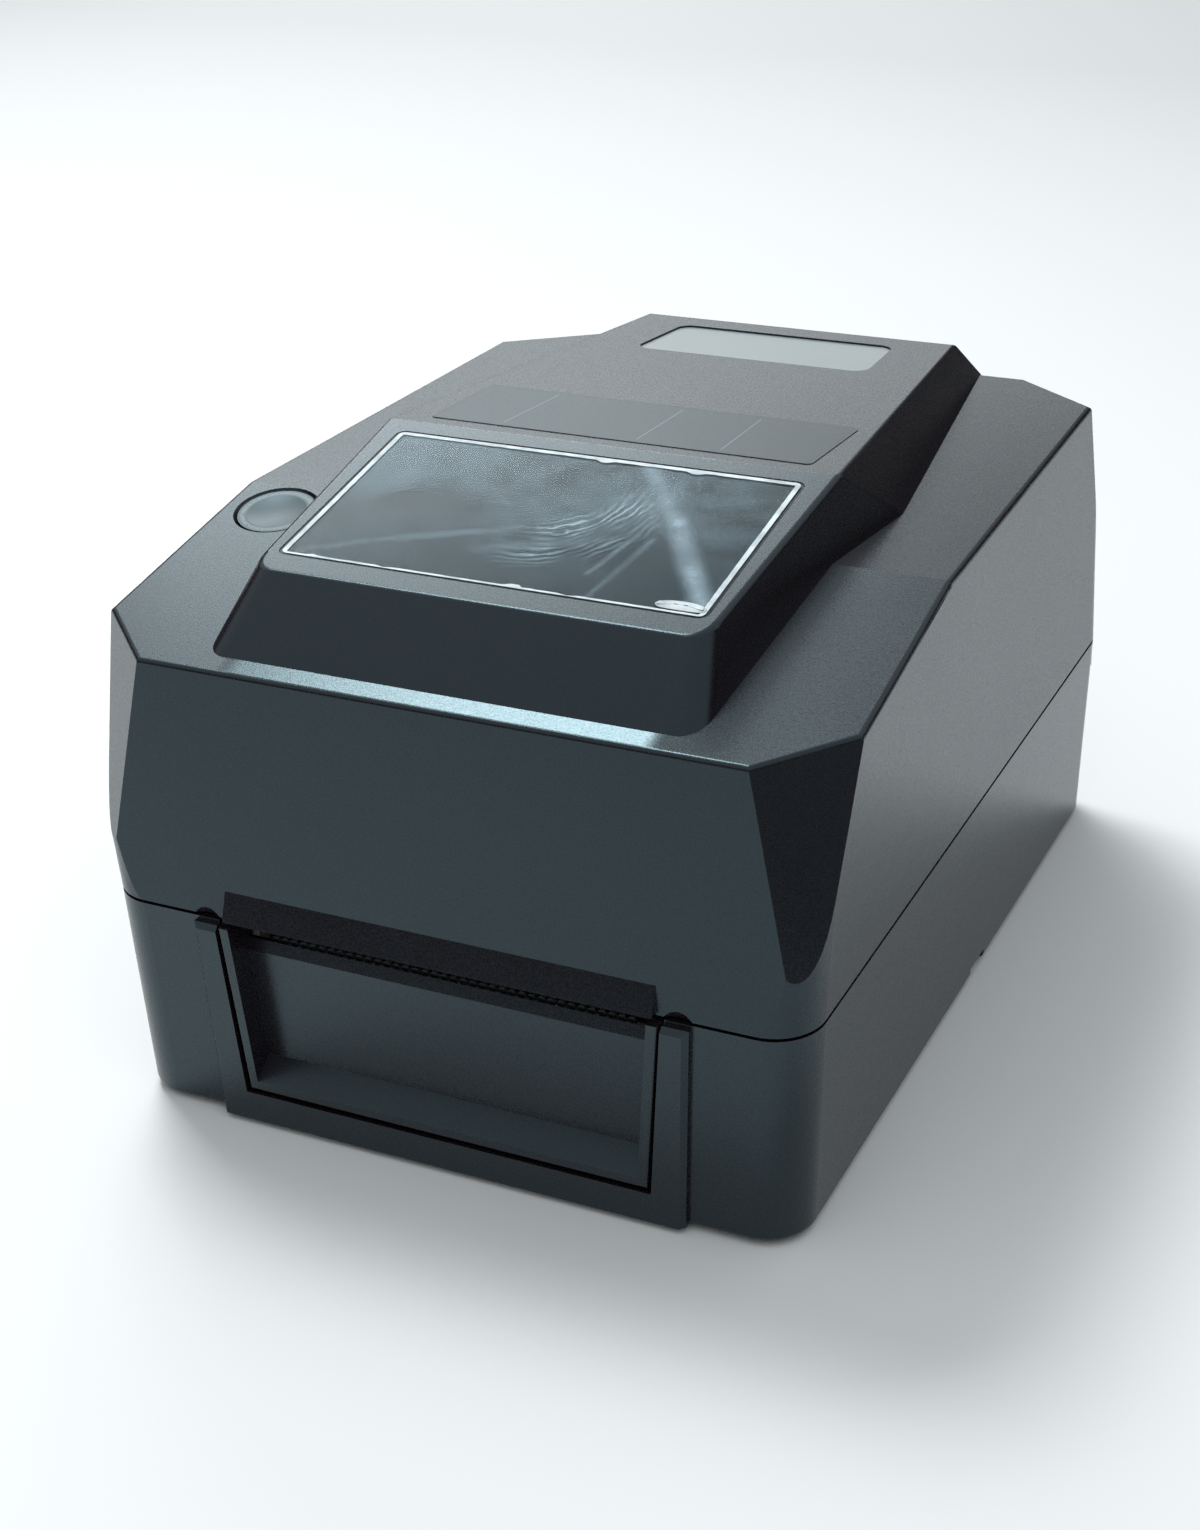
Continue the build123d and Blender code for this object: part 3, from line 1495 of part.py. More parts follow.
# Screws of the plates, of the media tray and trims, and of the main board
with BuildPart() as mechanism_screws:
    screw_rows = (
        (plate_screw_places, plate_bottom + plate_thickness, plate_thickness + pad_height),
        (deck_screw_places, tray_deck_height, screw_reach),
        (board_screw_places, board_level + board_thickness, board_thickness + wall),
    )
    for places, level, depth in screw_rows:
        with BuildSketch(Plane.XY.offset(level)):
            with Locations(*places):
                Circle(2 * screw_radius)
        extrude(amount=screw_head)
        with BuildSketch(Plane.XY.offset(level - depth)):
            with Locations(*places):
                Circle(screw_radius)
        extrude(amount=depth)
mechanism_screws.part.label = "mechanism_screws"
export_step(mechanism_screws.part, "parts/mechanism_screws.step")


# Rack beam on the front side of a pinion at the middle, with its teeth towards it
def rack(middle_y, teeth, bottom, rear_end, foot):
    pitch_line = middle_y - gear_module * teeth / 2
    step = math.pi * gear_module
    first = 1 - int(rear_end / step)
    points = []
    for tooth in range(first, 3):
        centre = (tooth - 0.5) * step
        points += [(centre + x, pitch_line + y) for x, y in tooth_corners]
    with BuildPart() as beam:
        with BuildSketch(Plane.XY.offset(bottom)):
            with BuildLine():
                Polyline(
                    *points,
                    (points[-1][0], pitch_line - rack_width),
                    (-rear_end, pitch_line - rack_width),
                    (-rear_end, points[0][1]),
                    close=True,
                )
            make_face()
        extrude(amount=rack_thickness)
        with Locations((-rear_end, middle_y + stem_width / 2, bottom)):
            Box(
                foot,
                middle_y + stem_width / 2 - pitch_line + rack_width,
                rack_thickness,
                align=(Align.MIN, Align.MAX, Align.MIN),
            )
    return beam.part


# Pinion that couples two opposed racks
def rack_pinion(middle_y, teeth, bottom):
    with BuildPart() as wheel:
        with BuildSketch(Plane.XY.offset(bottom)):
            with BuildLine():
                Polyline(*wheel_outline(teeth, 0, (0, middle_y)), close=True)
            make_face()
            with Locations((0, middle_y)):
                Circle(stud_radius + shaft_clearance, mode=Mode.SUBTRACT)
        extrude(amount=rack_thickness)
    return wheel.part


# The same piece for the right side: half a turn about the pinion
def opposite(piece, middle_y):
    return piece.rotate(Axis((0, middle_y, 0), (0, 0, 1)), 180)


# Paper deck between the plates, with two guide slots, a sensor slot and the stud of the pinion
deck_bottom = deck_height - deck_thickness
deck_rear = plate_rear
guide_y = front_y + guide_setback
guide_rack_bottom = deck_bottom - slip - rack_thickness
guide_slot = (guide_rest - guide_travel - slip, guide_rest + guide_thickness + slip)
with BuildPart() as paper_deck:
    with BuildSketch(Plane.YZ):
        with BuildLine():
            Polyline(
                (deck_front, deck_bottom),
                (deck_rear, deck_bottom),
                (deck_rear, deck_height - deck_drop),
                (deck_rear - deck_drop, deck_height),
                (deck_front, deck_height),
                close=True,
            )
        make_face()
    extrude(amount=plate_inner, both=True)
    with BuildSketch(Plane.XY.offset(deck_bottom)):
        for side in (1, -1):
            with Locations((side * sum(guide_slot) / 2, guide_y)):
                Rectangle(guide_slot[1] - guide_slot[0], stem_width + 2 * slip)
        with Locations((0, sensor_place[0])):
            SlotOverall(2 * (sensor_travel + sensor_half + sensor_window), sensor_window)
    extrude(amount=deck_thickness, mode=Mode.SUBTRACT)
    with Locations((0, guide_y, deck_bottom)):
        Cylinder(stud_radius, slip + rack_thickness + slip, align=(Align.CENTER, Align.CENTER, Align.MAX))
paper_deck.part.label = "paper_deck"
export_step(paper_deck.part, "parts/paper_deck.step")

# Label guides: upright fence, stem through the slot and a rack under the deck
with BuildPart() as label_guide_left:
    with BuildSketch(Plane.XY.offset(deck_height + slip)):
        with BuildLine():
            Polyline(
                (-guide_rest - guide_thickness, guide_y - guide_length / 2),
                (-guide_rest - guide_thickness / 2, guide_y - guide_length / 2),
                (-guide_rest, guide_y - guide_length / 2 + guide_thickness),
                (-guide_rest, guide_y + guide_length / 2 - guide_thickness),
                (-guide_rest - guide_thickness / 2, guide_y + guide_length / 2),
                (-guide_rest - guide_thickness, guide_y + guide_length / 2),
                close=True,
            )
        make_face()
    extrude(amount=guide_height)
    with BuildSketch(Plane.XY.offset(guide_rack_bottom)):
        with Locations((-guide_rest - guide_thickness, guide_y)):
            Rectangle(guide_thickness, stem_width, align=(Align.MIN, Align.CENTER))
    extrude(amount=deck_height - guide_rack_bottom + 2 * slip)
    add(rack(guide_y, guide_pinion_teeth, guide_rack_bottom, guide_rest + guide_thickness, guide_thickness))
label_guide_left.part.label = "label_guide_left"
export_step(label_guide_left.part, "parts/label_guide_left.step")

with BuildPart() as label_guide_right:
    add(opposite(label_guide_left.part, guide_y))
label_guide_right.part.label = "label_guide_right"
export_step(label_guide_right.part, "parts/label_guide_right.step")

with BuildPart() as guide_pinion:
    add(rack_pinion(guide_y, guide_pinion_teeth, guide_rack_bottom))
guide_pinion.part.label = "guide_pinion"
export_step(guide_pinion.part, "parts/guide_pinion.step")

# Gap sensor on its rail, looking up through the slot
with BuildPart() as sensor_rail:
    across(sensor_rail_radius, plate_gap + 2 * plate_thickness, 0, sensor_place)
sensor_rail.part.label = "sensor_rail"
export_step(sensor_rail.part, "parts/sensor_rail.step")

with BuildPart() as gap_sensor:
    with BuildSketch(Plane.YZ):
        with Locations((sensor_place[0], deck_bottom - slip)):
            Rectangle(
                sensor_depth,
                deck_bottom - slip - sensor_place[1] + 2 * sensor_rail_radius,
                align=(Align.CENTER, Align.MAX),
            )
        with Locations((sensor_place[0], deck_height - slip)):
            Rectangle(sensor_window - 2 * slip, 2 * deck_thickness, align=(Align.CENTER, Align.MAX))
        with Locations(sensor_place):
            Circle(sensor_rail_radius + shaft_clearance, mode=Mode.SUBTRACT)
    extrude(amount=sensor_half, both=True)
gap_sensor.part.label = "gap_sensor"
export_step(gap_sensor.part, "parts/gap_sensor.step")

# Media tray: roll trough in a deck, with slots for the roll holders and for fan-fold labels
bay_radius = roll_radius + roll_clearance
trough_radius = bay_radius + tray_thickness
roll_y = front_y + roll_setback
trough_bottom = board_top + trough_gap
roll_height = trough_bottom + trough_radius
roll_place = (roll_y, roll_height)
tray_front = front_y + tray_front_setback
tray_rear = hinge_y - barrel_radius - ledge_wall - 2 * slip
holder_slot = (holder_rest - holder_travel - slip, holder_rest + holder_thickness + slip)
with BuildPart() as media_tray:
    with BuildSketch(Plane.XY.offset(trim_level)):
        with Locations((0, tray_front)):
            Rectangle(2 * trim_outer, tray_rear - tray_front, align=(Align.CENTER, Align.MIN))
    extrude(amount=tray_thickness)
    across(trough_radius, 2 * bay_half_width, 0, roll_place)
    with Locations((0, roll_y, tray_deck_height)):
        Box(
            4 * bay_half_width,
            4 * trough_radius,
            2 * trough_radius,
            align=(Align.CENTER, Align.CENTER, Align.MIN),
            mode=Mode.SUBTRACT,
        )
    with Locations((0, roll_y, trough_bottom)):
        Box(2 * bay_half_width, tray_pad, trough_radius / 2, align=(Align.CENTER, Align.CENTER, Align.MIN))
    across(bay_radius, 2 * (bay_half_width - tray_thickness), 0, roll_place, Mode.SUBTRACT)
    for side in (1, -1):
        with Locations((side * sum(holder_slot) / 2, roll_y, trough_bottom)):
            Box(
                holder_slot[1] - holder_slot[0],
                stem_width + 2 * slip,
                6 * tray_thickness,
                mode=Mode.SUBTRACT,
            )
    with Locations((0, roll_y, fold_slot_height)):
        Box(
            2 * fold_slot_half,
            trough_radius,
            fold_slot_gap,
            align=(Align.CENTER, Align.MIN, Align.MIN),
            mode=Mode.SUBTRACT,
        )
    with BuildSketch(Plane.XY.offset(trim_level)):
        with Locations(*deck_screw_places):
            Circle(screw_radius)
    extrude(amount=tray_thickness, mode=Mode.SUBTRACT)
    with Locations((0, roll_y, trough_bottom)):
        Cylinder(stud_radius, 2 * slip + rack_thickness, align=(Align.CENTER, Align.CENTER, Align.MAX))
media_tray.part.label = "media_tray"
export_step(media_tray.part, "parts/media_tray.step")

# Clips under the two rack pinions
with BuildPart() as pinion_clips:
    for middle_y, level in (
        (guide_y, guide_rack_bottom - slip),
        (roll_y, trough_bottom - 2 * slip - rack_thickness),
    ):
        with Locations((0, middle_y, level)):
            Cylinder(stud_radius + wall / 2, clip_thickness, align=(Align.CENTER, Align.CENTER, Align.MAX))
pinion_clips.part.label = "pinion_clips"
export_step(pinion_clips.part, "parts/pinion_clips.step")

# Roll holders: arm with a hub for the core, stem through the trough and a rack under it
holder_rack_bottom = trough_bottom - slip - rack_thickness
holder_foot = roll_height - math.sqrt(bay_radius**2 - holder_foot_half**2) + slip
with BuildPart() as roll_holder_left:
    with BuildSketch(Plane.YZ.offset(-holder_rest - holder_thickness)):
        with BuildLine():
            Polyline(
                (roll_y - holder_foot_half, holder_foot),
                (roll_y + holder_foot_half, holder_foot),
                (roll_y + holder_head, roll_height),
                (roll_y - holder_head, roll_height),
                close=True,
            )
        make_face()
        with Locations(roll_place):
            Circle(holder_head)
    extrude(amount=holder_thickness)
    across(hub_radius, hub_height, -holder_rest + hub_height / 2, roll_place)
    fillet(roll_holder_left.faces().sort_by(Axis.X)[-1].edges(), hub_round)
    with BuildSketch(Plane.XY.offset(holder_rack_bottom)):
        with Locations((-holder_rest - holder_thickness, roll_y)):
            Rectangle(holder_thickness, stem_width, align=(Align.MIN, Align.CENTER))
    extrude(amount=holder_foot - holder_rack_bottom + 2 * slip)
    add(rack(roll_y, roll_pinion_teeth, holder_rack_bottom, holder_rest + holder_thickness, holder_thickness))
roll_holder_left.part.label = "roll_holder_left"
export_step(roll_holder_left.part, "parts/roll_holder_left.step")

with BuildPart() as roll_holder_right:
    add(opposite(roll_holder_left.part, roll_y))
roll_holder_right.part.label = "roll_holder_right"
export_step(roll_holder_right.part, "parts/roll_holder_right.step")

with BuildPart() as roll_pinion:
    add(rack_pinion(roll_y, roll_pinion_teeth, holder_rack_bottom))
roll_pinion.part.label = "roll_pinion"
export_step(roll_pinion.part, "parts/roll_pinion.step")

# Trims beside the print mechanism
for side, name in ((-1, "side_trim_left"), (1, "side_trim_right")):
    with BuildPart() as side_trim:
        with BuildSketch(Plane.XY.offset(trim_level)) as trim_face:
            with Locations((side * (trim_inner + trim_outer) / 2, front_y + (trim_front + trim_rear) / 2)):
                Rectangle(trim_outer - trim_inner, trim_rear - trim_front)
            fillet(trim_face.vertices(), trim_corner)
            with Locations(*deck_screw_places):
                Circle(screw_radius, mode=Mode.SUBTRACT)
        extrude(amount=tray_thickness)
    side_trim.part.label = name
    export_step(side_trim.part, "parts/" + name + ".step")

# Main board with its chips and capacitors
with BuildPart() as main_board:
    with BuildSketch(Plane.XY.offset(board_level)):
        with Locations(((board_left + board_right) / 2, (board_front + board_rear) / 2)):
            Rectangle(board_right - board_left, board_rear - board_front)
        with Locations(*board_screw_places):
            Circle(screw_radius, mode=Mode.SUBTRACT)
    extrude(amount=board_thickness)
    with BuildSketch(Plane.XY.offset(board_top)):
        with Locations(
            (chip_offset, board_front + 2 * chip_size),
            (-chip_offset, board_front + 2 * chip_size),
        ):
            Rectangle(chip_size, chip_size)
    extrude(amount=chip_height)
    with BuildSketch(Plane.XY.offset(board_top)):
        with Locations(
            (-chip_offset, board_rear - chip_size),
            (chip_size - chip_offset, board_rear - chip_size),
        ):
            Circle(capacitor_radius)
    extrude(amount=2 * capacitor_radius)
main_board.part.label = "main_board"
export_step(main_board.part, "parts/main_board.step")

# Sockets at the rear
socket_rear = rear_y - port_recess
with BuildPart() as power_jack:
    with Locations((jack_offset, socket_rear, board_top)):
        Box(jack_width, jack_depth, jack_height, align=(Align.CENTER, Align.MAX, Align.MIN))
    with BuildSketch(Plane.XZ.offset(-socket_rear)):
        with Locations((jack_offset, board_top + jack_height / 2)):
            Circle(jack_bore)
            Circle(jack_pin, mode=Mode.SUBTRACT)
    extrude(amount=jack_depth - wall, mode=Mode.SUBTRACT)
power_jack.part.label = "power_jack"
export_step(power_jack.part, "parts/power_jack.step")

with BuildPart() as usb_port:
    with Locations((usb_offset, socket_rear, board_top)):
        Box(usb_width, usb_depth, usb_height, align=(Align.CENTER, Align.MAX, Align.MIN))
    with BuildSketch(Plane.XZ.offset(-socket_rear)) as usb_mouth:
        with Locations((usb_offset, board_top + usb_height / 2)):
            Rectangle(usb_width - 2 * socket_wall, usb_height - 2 * socket_wall)
        chamfer(usb_mouth.vertices().group_by(Axis.Z)[-1], socket_wall)
        with Locations((usb_offset, board_top + usb_height / 2)):
            Rectangle(usb_width / 2, usb_height / 3, mode=Mode.SUBTRACT)
    extrude(amount=usb_depth - wall, mode=Mode.SUBTRACT)
usb_port.part.label = "usb_port"
export_step(usb_port.part, "parts/usb_port.step")

with BuildPart() as network_port:
    with Locations((network_offset, socket_rear, board_top)):
        Box(network_width, usb_depth, network_height, align=(Align.CENTER, Align.MAX, Align.MIN))
    with BuildSketch(Plane.XZ.offset(-socket_rear)):
        with Locations((network_offset, board_top + network_height / 2)):
            Rectangle(network_width - 4 * socket_wall, network_height - 4 * socket_wall)
        with Locations((network_offset, board_top + socket_wall)):
            Rectangle(network_width / 3, 2 * socket_wall, align=(Align.CENTER, Align.MIN))
    extrude(amount=usb_depth - wall, mode=Mode.SUBTRACT)
network_port.part.label = "network_port"
export_step(network_port.part, "parts/network_port.step")

# Power switch: housing snapped into the rear wall, and its rocker
pocket_floor = rear_y - bezel_depth
rocker_place = (pocket_floor - rocker_sink, switch_height)
with BuildPart() as switch_housing:
    with Locations((switch_offset, pocket_floor, switch_height)):
        Box(
            2 * switch_half_width,
            switch_depth,
            2 * switch_half_height,
            align=(Align.CENTER, Align.MAX, Align.CENTER),
        )
        Box(
            2 * (bezel_half_width - slip),
            bezel_thickness,
            2 * (bezel_half_height - slip),
            align=(Align.CENTER, Align.MIN, Align.CENTER),
        )
    with Locations((switch_offset, pocket_floor + wall, switch_height)):
        Box(
            2 * (rocker_half_width + slip),
            wall + switch_depth - 2 * bezel_thickness,
            2 * (rocker_reach + slip),
            align=(Align.CENTER, Align.MAX, Align.CENTER),
            mode=Mode.SUBTRACT,
        )
    across(
        rocker_pin + shaft_clearance,
        2 * (switch_half_width - slip),
        switch_offset,
        rocker_place,
        Mode.SUBTRACT,
    )
switch_housing.part.label = "switch_housing"
export_step(switch_housing.part, "parts/switch_housing.step")

with BuildPart() as rocker_level:
    with BuildSketch(Plane.YZ.offset(switch_offset)):
        with BuildLine():
            Polyline(
                (rocker_place[0] - rocker_face, switch_height - rocker_face),
                (rocker_place[0] + rocker_face, switch_height - rocker_half_height),
                (rocker_place[0] + rocker_face - rocker_dip, switch_height),
                (rocker_place[0] + rocker_face, switch_height + rocker_half_height),
                (rocker_place[0] - rocker_face, switch_height + rocker_face),
                close=True,
            )
        make_face()
    extrude(amount=rocker_half_width, both=True)
    across(rocker_pin, 2 * (rocker_half_width + rocker_pin_reach), switch_offset, rocker_place)

with BuildPart() as power_rocker:
    add(
        rocker_level.part.rotate(
            Axis((switch_offset, rocker_place[0], rocker_place[1]), (-1, 0, 0)),
            rocker_turn / 2,
        )
    )
power_rocker.part.label = "power_rocker"
export_step(power_rocker.part, "parts/power_rocker.step")
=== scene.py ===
import bpy
import json
import math
import random
from mathutils import Matrix, Vector


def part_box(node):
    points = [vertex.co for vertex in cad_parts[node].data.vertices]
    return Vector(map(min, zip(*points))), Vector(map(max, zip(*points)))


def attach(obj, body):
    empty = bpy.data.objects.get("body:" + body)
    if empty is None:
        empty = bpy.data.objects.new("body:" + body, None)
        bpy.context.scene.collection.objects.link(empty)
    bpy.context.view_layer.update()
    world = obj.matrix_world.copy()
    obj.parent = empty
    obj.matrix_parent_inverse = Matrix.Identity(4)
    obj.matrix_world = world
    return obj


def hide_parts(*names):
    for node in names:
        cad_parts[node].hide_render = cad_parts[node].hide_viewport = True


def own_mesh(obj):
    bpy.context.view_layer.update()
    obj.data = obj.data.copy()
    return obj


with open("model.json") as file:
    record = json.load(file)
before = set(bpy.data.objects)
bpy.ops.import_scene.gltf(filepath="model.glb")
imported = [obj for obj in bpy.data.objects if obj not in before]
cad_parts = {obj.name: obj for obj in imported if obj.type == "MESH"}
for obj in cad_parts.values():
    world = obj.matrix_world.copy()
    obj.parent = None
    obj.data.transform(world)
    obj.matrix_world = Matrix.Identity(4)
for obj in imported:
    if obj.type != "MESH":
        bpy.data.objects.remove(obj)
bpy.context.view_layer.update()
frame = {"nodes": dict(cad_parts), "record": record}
nodes = frame["nodes"]
slotOf = {part["node"]: part["material_slot"] for part in frame["record"]["subparts"]}
bpy.ops.object.select_all(action="DESELECT")
print("printer loaded:", len(nodes), "nodes")


# Camera, at the photograph's place

cameraSet = {
    "place": (0.3048, -0.6394, 0.4291),
    "azimuth": 26.6,
    "elevation": 27.36,
    "roll": -2.58,
    "lens": 59.77,
    "sensor": 36.0,
}


def addCamera():
    bpy.ops.object.camera_add(location=cameraSet["place"])
    camera = bpy.context.object
    turn = Matrix.Rotation(math.radians(cameraSet["azimuth"]), 3, "Z")
    tip = Matrix.Rotation(math.pi / 2 - math.radians(cameraSet["elevation"]), 3, "X")
    roll = Matrix.Rotation(math.radians(cameraSet["roll"]), 3, "Z")
    camera.rotation_euler = (turn @ tip @ roll).to_euler()
    camera.data.lens = cameraSet["lens"]
    camera.data.sensor_fit = "VERTICAL"
    camera.data.sensor_height = cameraSet["sensor"]
    camera.data.clip_end = 50
    bpy.context.scene.camera = camera


addCamera()


# Node helpers

def newTree(name):
    material = bpy.data.materials.new(name)
    material.use_nodes = True
    tree = material.node_tree
    tree.nodes.clear()
    out = tree.nodes.new("ShaderNodeOutputMaterial")
    shader = tree.nodes.new("ShaderNodeBsdfPrincipled")
    tree.links.new(shader.outputs["BSDF"], out.inputs["Surface"])
    return material, tree, shader


def addNode(tree, kind, **settings):
    node = tree.nodes.new(kind)
    for key, value in settings.items():
        setattr(node, key, value)
    return node


def newGroup(name, inputs, outputs):
    group = bpy.data.node_groups.new(name, "ShaderNodeTree")
    for label, kind, value in inputs:
        socket = group.interface.new_socket(name=label, in_out="INPUT", socket_type=kind)
        socket.default_value = value
    for label, kind in outputs:
        group.interface.new_socket(name=label, in_out="OUTPUT", socket_type=kind)
    return group, group.nodes.new("NodeGroupInput"), group.nodes.new("NodeGroupOutput")


def useGroup(tree, group, **values):
    node = tree.nodes.new("ShaderNodeGroup")
    node.node_tree = group
    for key, value in values.items():
        node.inputs[key].default_value = value
    return node


def colour(red, green, blue):
    return (red, green, blue, 1.0)


def mixColour(tree, factor, first, second):
    mix = addNode(tree, "ShaderNodeMix", data_type="RGBA")
    for socket, value in ((mix.inputs["Factor"], factor), (mix.inputs["A"], first), (mix.inputs["B"], second)):
        if isinstance(value, bpy.types.NodeSocket):
            tree.links.new(value, socket)
        else:
            socket.default_value = value
    return mix.outputs["Result"]


def mathNode(tree, operation, first, second=0.0, clamp=False):
    node = addNode(tree, "ShaderNodeMath", operation=operation, use_clamp=clamp)
    for socket, value in ((node.inputs[0], first), (node.inputs[1], second)):
        if isinstance(value, bpy.types.NodeSocket):
            tree.links.new(value, socket)
        else:
            socket.default_value = value
    return node.outputs[0]


def spread(tree, value, low, high, newLow=0.0, newHigh=1.0):
    node = addNode(tree, "ShaderNodeMapRange")
    tree.links.new(value, node.inputs["Value"])
    for label, number in (("From Min", low), ("From Max", high), ("To Min", newLow), ("To Max", newHigh)):
        if isinstance(number, bpy.types.NodeSocket):
            tree.links.new(number, node.inputs[label])
        else:
            node.inputs[label].default_value = number
    return node.outputs["Result"]


def noise(tree, vector, scale, detail=2.0, rough=0.5, twist=0.0):
    node = addNode(tree, "ShaderNodeTexNoise")
    tree.links.new(vector, node.inputs["Vector"])
    if isinstance(scale, bpy.types.NodeSocket):
        tree.links.new(scale, node.inputs["Scale"])
    else:
        node.inputs["Scale"].default_value = scale
    node.inputs["Detail"].default_value = detail
    node.inputs["Roughness"].default_value = rough
    node.inputs["Distortion"].default_value = twist
    return node.outputs["Fac"]


def objectPlace(tree):
    return addNode(tree, "ShaderNodeTexCoord").outputs["Object"]


# Shared effects

# spark-eroded grain of a moulding: tone, roughness and height
def makeMouldGrain():
    group, given, out = newGroup(
        "mouldGrain",
        (
            ("Tone", "NodeSocketColor", colour(0.02, 0.02, 0.02)),
            ("Bloom", "NodeSocketColor", colour(0.03, 0.03, 0.03)),
            ("Grain Scale", "NodeSocketFloat", 1300.0),
            ("Patch Scale", "NodeSocketFloat", 14.0),
            ("Rough Low", "NodeSocketFloat", 0.4),
            ("Rough High", "NodeSocketFloat", 0.5),
        ),
        (("Color", "NodeSocketColor"), ("Roughness", "NodeSocketFloat"), ("Height", "NodeSocketFloat")),
    )
    place = objectPlace(group)
    grain = noise(group, place, given.outputs["Grain Scale"], 1.0, 0.5)
    patch = noise(group, place, given.outputs["Patch Scale"], 4.0, 0.55)
    speck = spread(group, grain, 0.35, 0.72)
    tone = mathNode(group, "MULTIPLY", spread(group, patch, 0.3, 0.75), 0.6)
    tone = mathNode(group, "ADD", tone, mathNode(group, "MULTIPLY", speck, 0.4), clamp=True)
    group.links.new(mixColour(group, tone, given.outputs["Tone"], given.outputs["Bloom"]), out.inputs["Color"])
    uneven = mathNode(group, "ADD", mathNode(group, "MULTIPLY", patch, 0.35), mathNode(group, "MULTIPLY", speck, 0.65))
    rough = spread(group, uneven, 0.15, 0.8, given.outputs["Rough Low"], given.outputs["Rough High"])
    group.links.new(rough, out.inputs["Roughness"])
    group.links.new(speck, out.inputs["Height"])
    return group


# pale rub marks on outer edges
def makeEdgeRub():
    group, given, out = newGroup(
        "edgeRub",
        (("Radius", "NodeSocketFloat", 0.0006), ("Amount", "NodeSocketFloat", 0.5)),
        (("Mask", "NodeSocketFloat"),),
    )
    round_ = addNode(group, "ShaderNodeBevel", samples=4)
    group.links.new(given.outputs["Radius"], round_.inputs["Radius"])
    flat = addNode(group, "ShaderNodeNewGeometry")
    turn = addNode(group, "ShaderNodeVectorMath", operation="DOT_PRODUCT")
    group.links.new(round_.outputs["Normal"], turn.inputs[0])
    group.links.new(flat.outputs["Normal"], turn.inputs[1])
    edge = spread(group, turn.outputs["Value"], 0.995, 0.86)
    breakUp = spread(group, noise(group, objectPlace(group), 180.0, 5.0, 0.65), 0.38, 0.62)
    mask = mathNode(group, "MULTIPLY", edge, breakUp)
    group.links.new(mathNode(group, "MULTIPLY", mask, given.outputs["Amount"]), out.inputs["Mask"])
    return group


# fine dust lying on what faces up
def makeDust():
    group, given, out = newGroup(
        "fallenDust",
        (("Amount", "NodeSocketFloat", 0.2), ("Speck Scale", "NodeSocketFloat", 420.0)),
        (("Mask", "NodeSocketFloat"),),
    )
    place = objectPlace(group)
    cells = addNode(group, "ShaderNodeTexVoronoi")
    group.links.new(place, cells.inputs["Vector"])
    group.links.new(given.outputs["Speck Scale"], cells.inputs["Scale"])
    dots = spread(group, cells.outputs["Distance"], 0.16, 0.04)
    some = spread(group, noise(group, place, 90.0, 2.0), 0.52, 0.66)
    facing = addNode(group, "ShaderNodeNewGeometry")
    split = addNode(group, "ShaderNodeSeparateXYZ")
    group.links.new(facing.outputs["Normal"], split.inputs["Vector"])
    up = spread(group, split.outputs["Z"], 0.5, 0.95)
    mask = mathNode(group, "MULTIPLY", mathNode(group, "MULTIPLY", dots, some), up)
    group.links.new(mathNode(group, "MULTIPLY", mask, given.outputs["Amount"]), out.inputs["Mask"])
    return group


# lines left by grinding or rolling along one way
def makeDrawnLines():
    group, given, out = newGroup(
        "drawnLines",
        (
            ("Along", "NodeSocketVector", (1.0, 40.0, 40.0)),
            ("Scale", "NodeSocketFloat", 60.0),
            ("Rough Low", "NodeSocketFloat", 0.25),
            ("Rough High", "NodeSocketFloat", 0.45),
        ),
        (("Line", "NodeSocketFloat"), ("Roughness", "NodeSocketFloat")),
    )
    stretch = addNode(group, "ShaderNodeVectorMath", operation="MULTIPLY")
    group.links.new(objectPlace(group), stretch.inputs[0])
    group.links.new(given.outputs["Along"], stretch.inputs[1])
    line = noise(group, stretch.outputs["Vector"], given.outputs["Scale"], 4.0, 0.6)
    group.links.new(line, out.inputs["Line"])
    rough = spread(group, line, 0.3, 0.7, given.outputs["Rough Low"], given.outputs["Rough High"])
    group.links.new(rough, out.inputs["Roughness"])
    return group


mouldGrain = makeMouldGrain()
edgeRub = makeEdgeRub()
fallenDust = makeDust()
drawnLines = makeDrawnLines()
print("shared effects made")


# Materials

def addBump(tree, shader, height, depth, strength=1.0):
    bump = addNode(tree, "ShaderNodeBump")
    bump.inputs["Strength"].default_value = strength
    bump.inputs["Distance"].default_value = depth
    tree.links.new(height, bump.inputs["Height"])
    tree.links.new(bump.outputs["Normal"], shader.inputs["Normal"])
    return bump


mouldTint = colour(0.58, 0.90, 1.0)  # cool cast of the dark plastic's shine

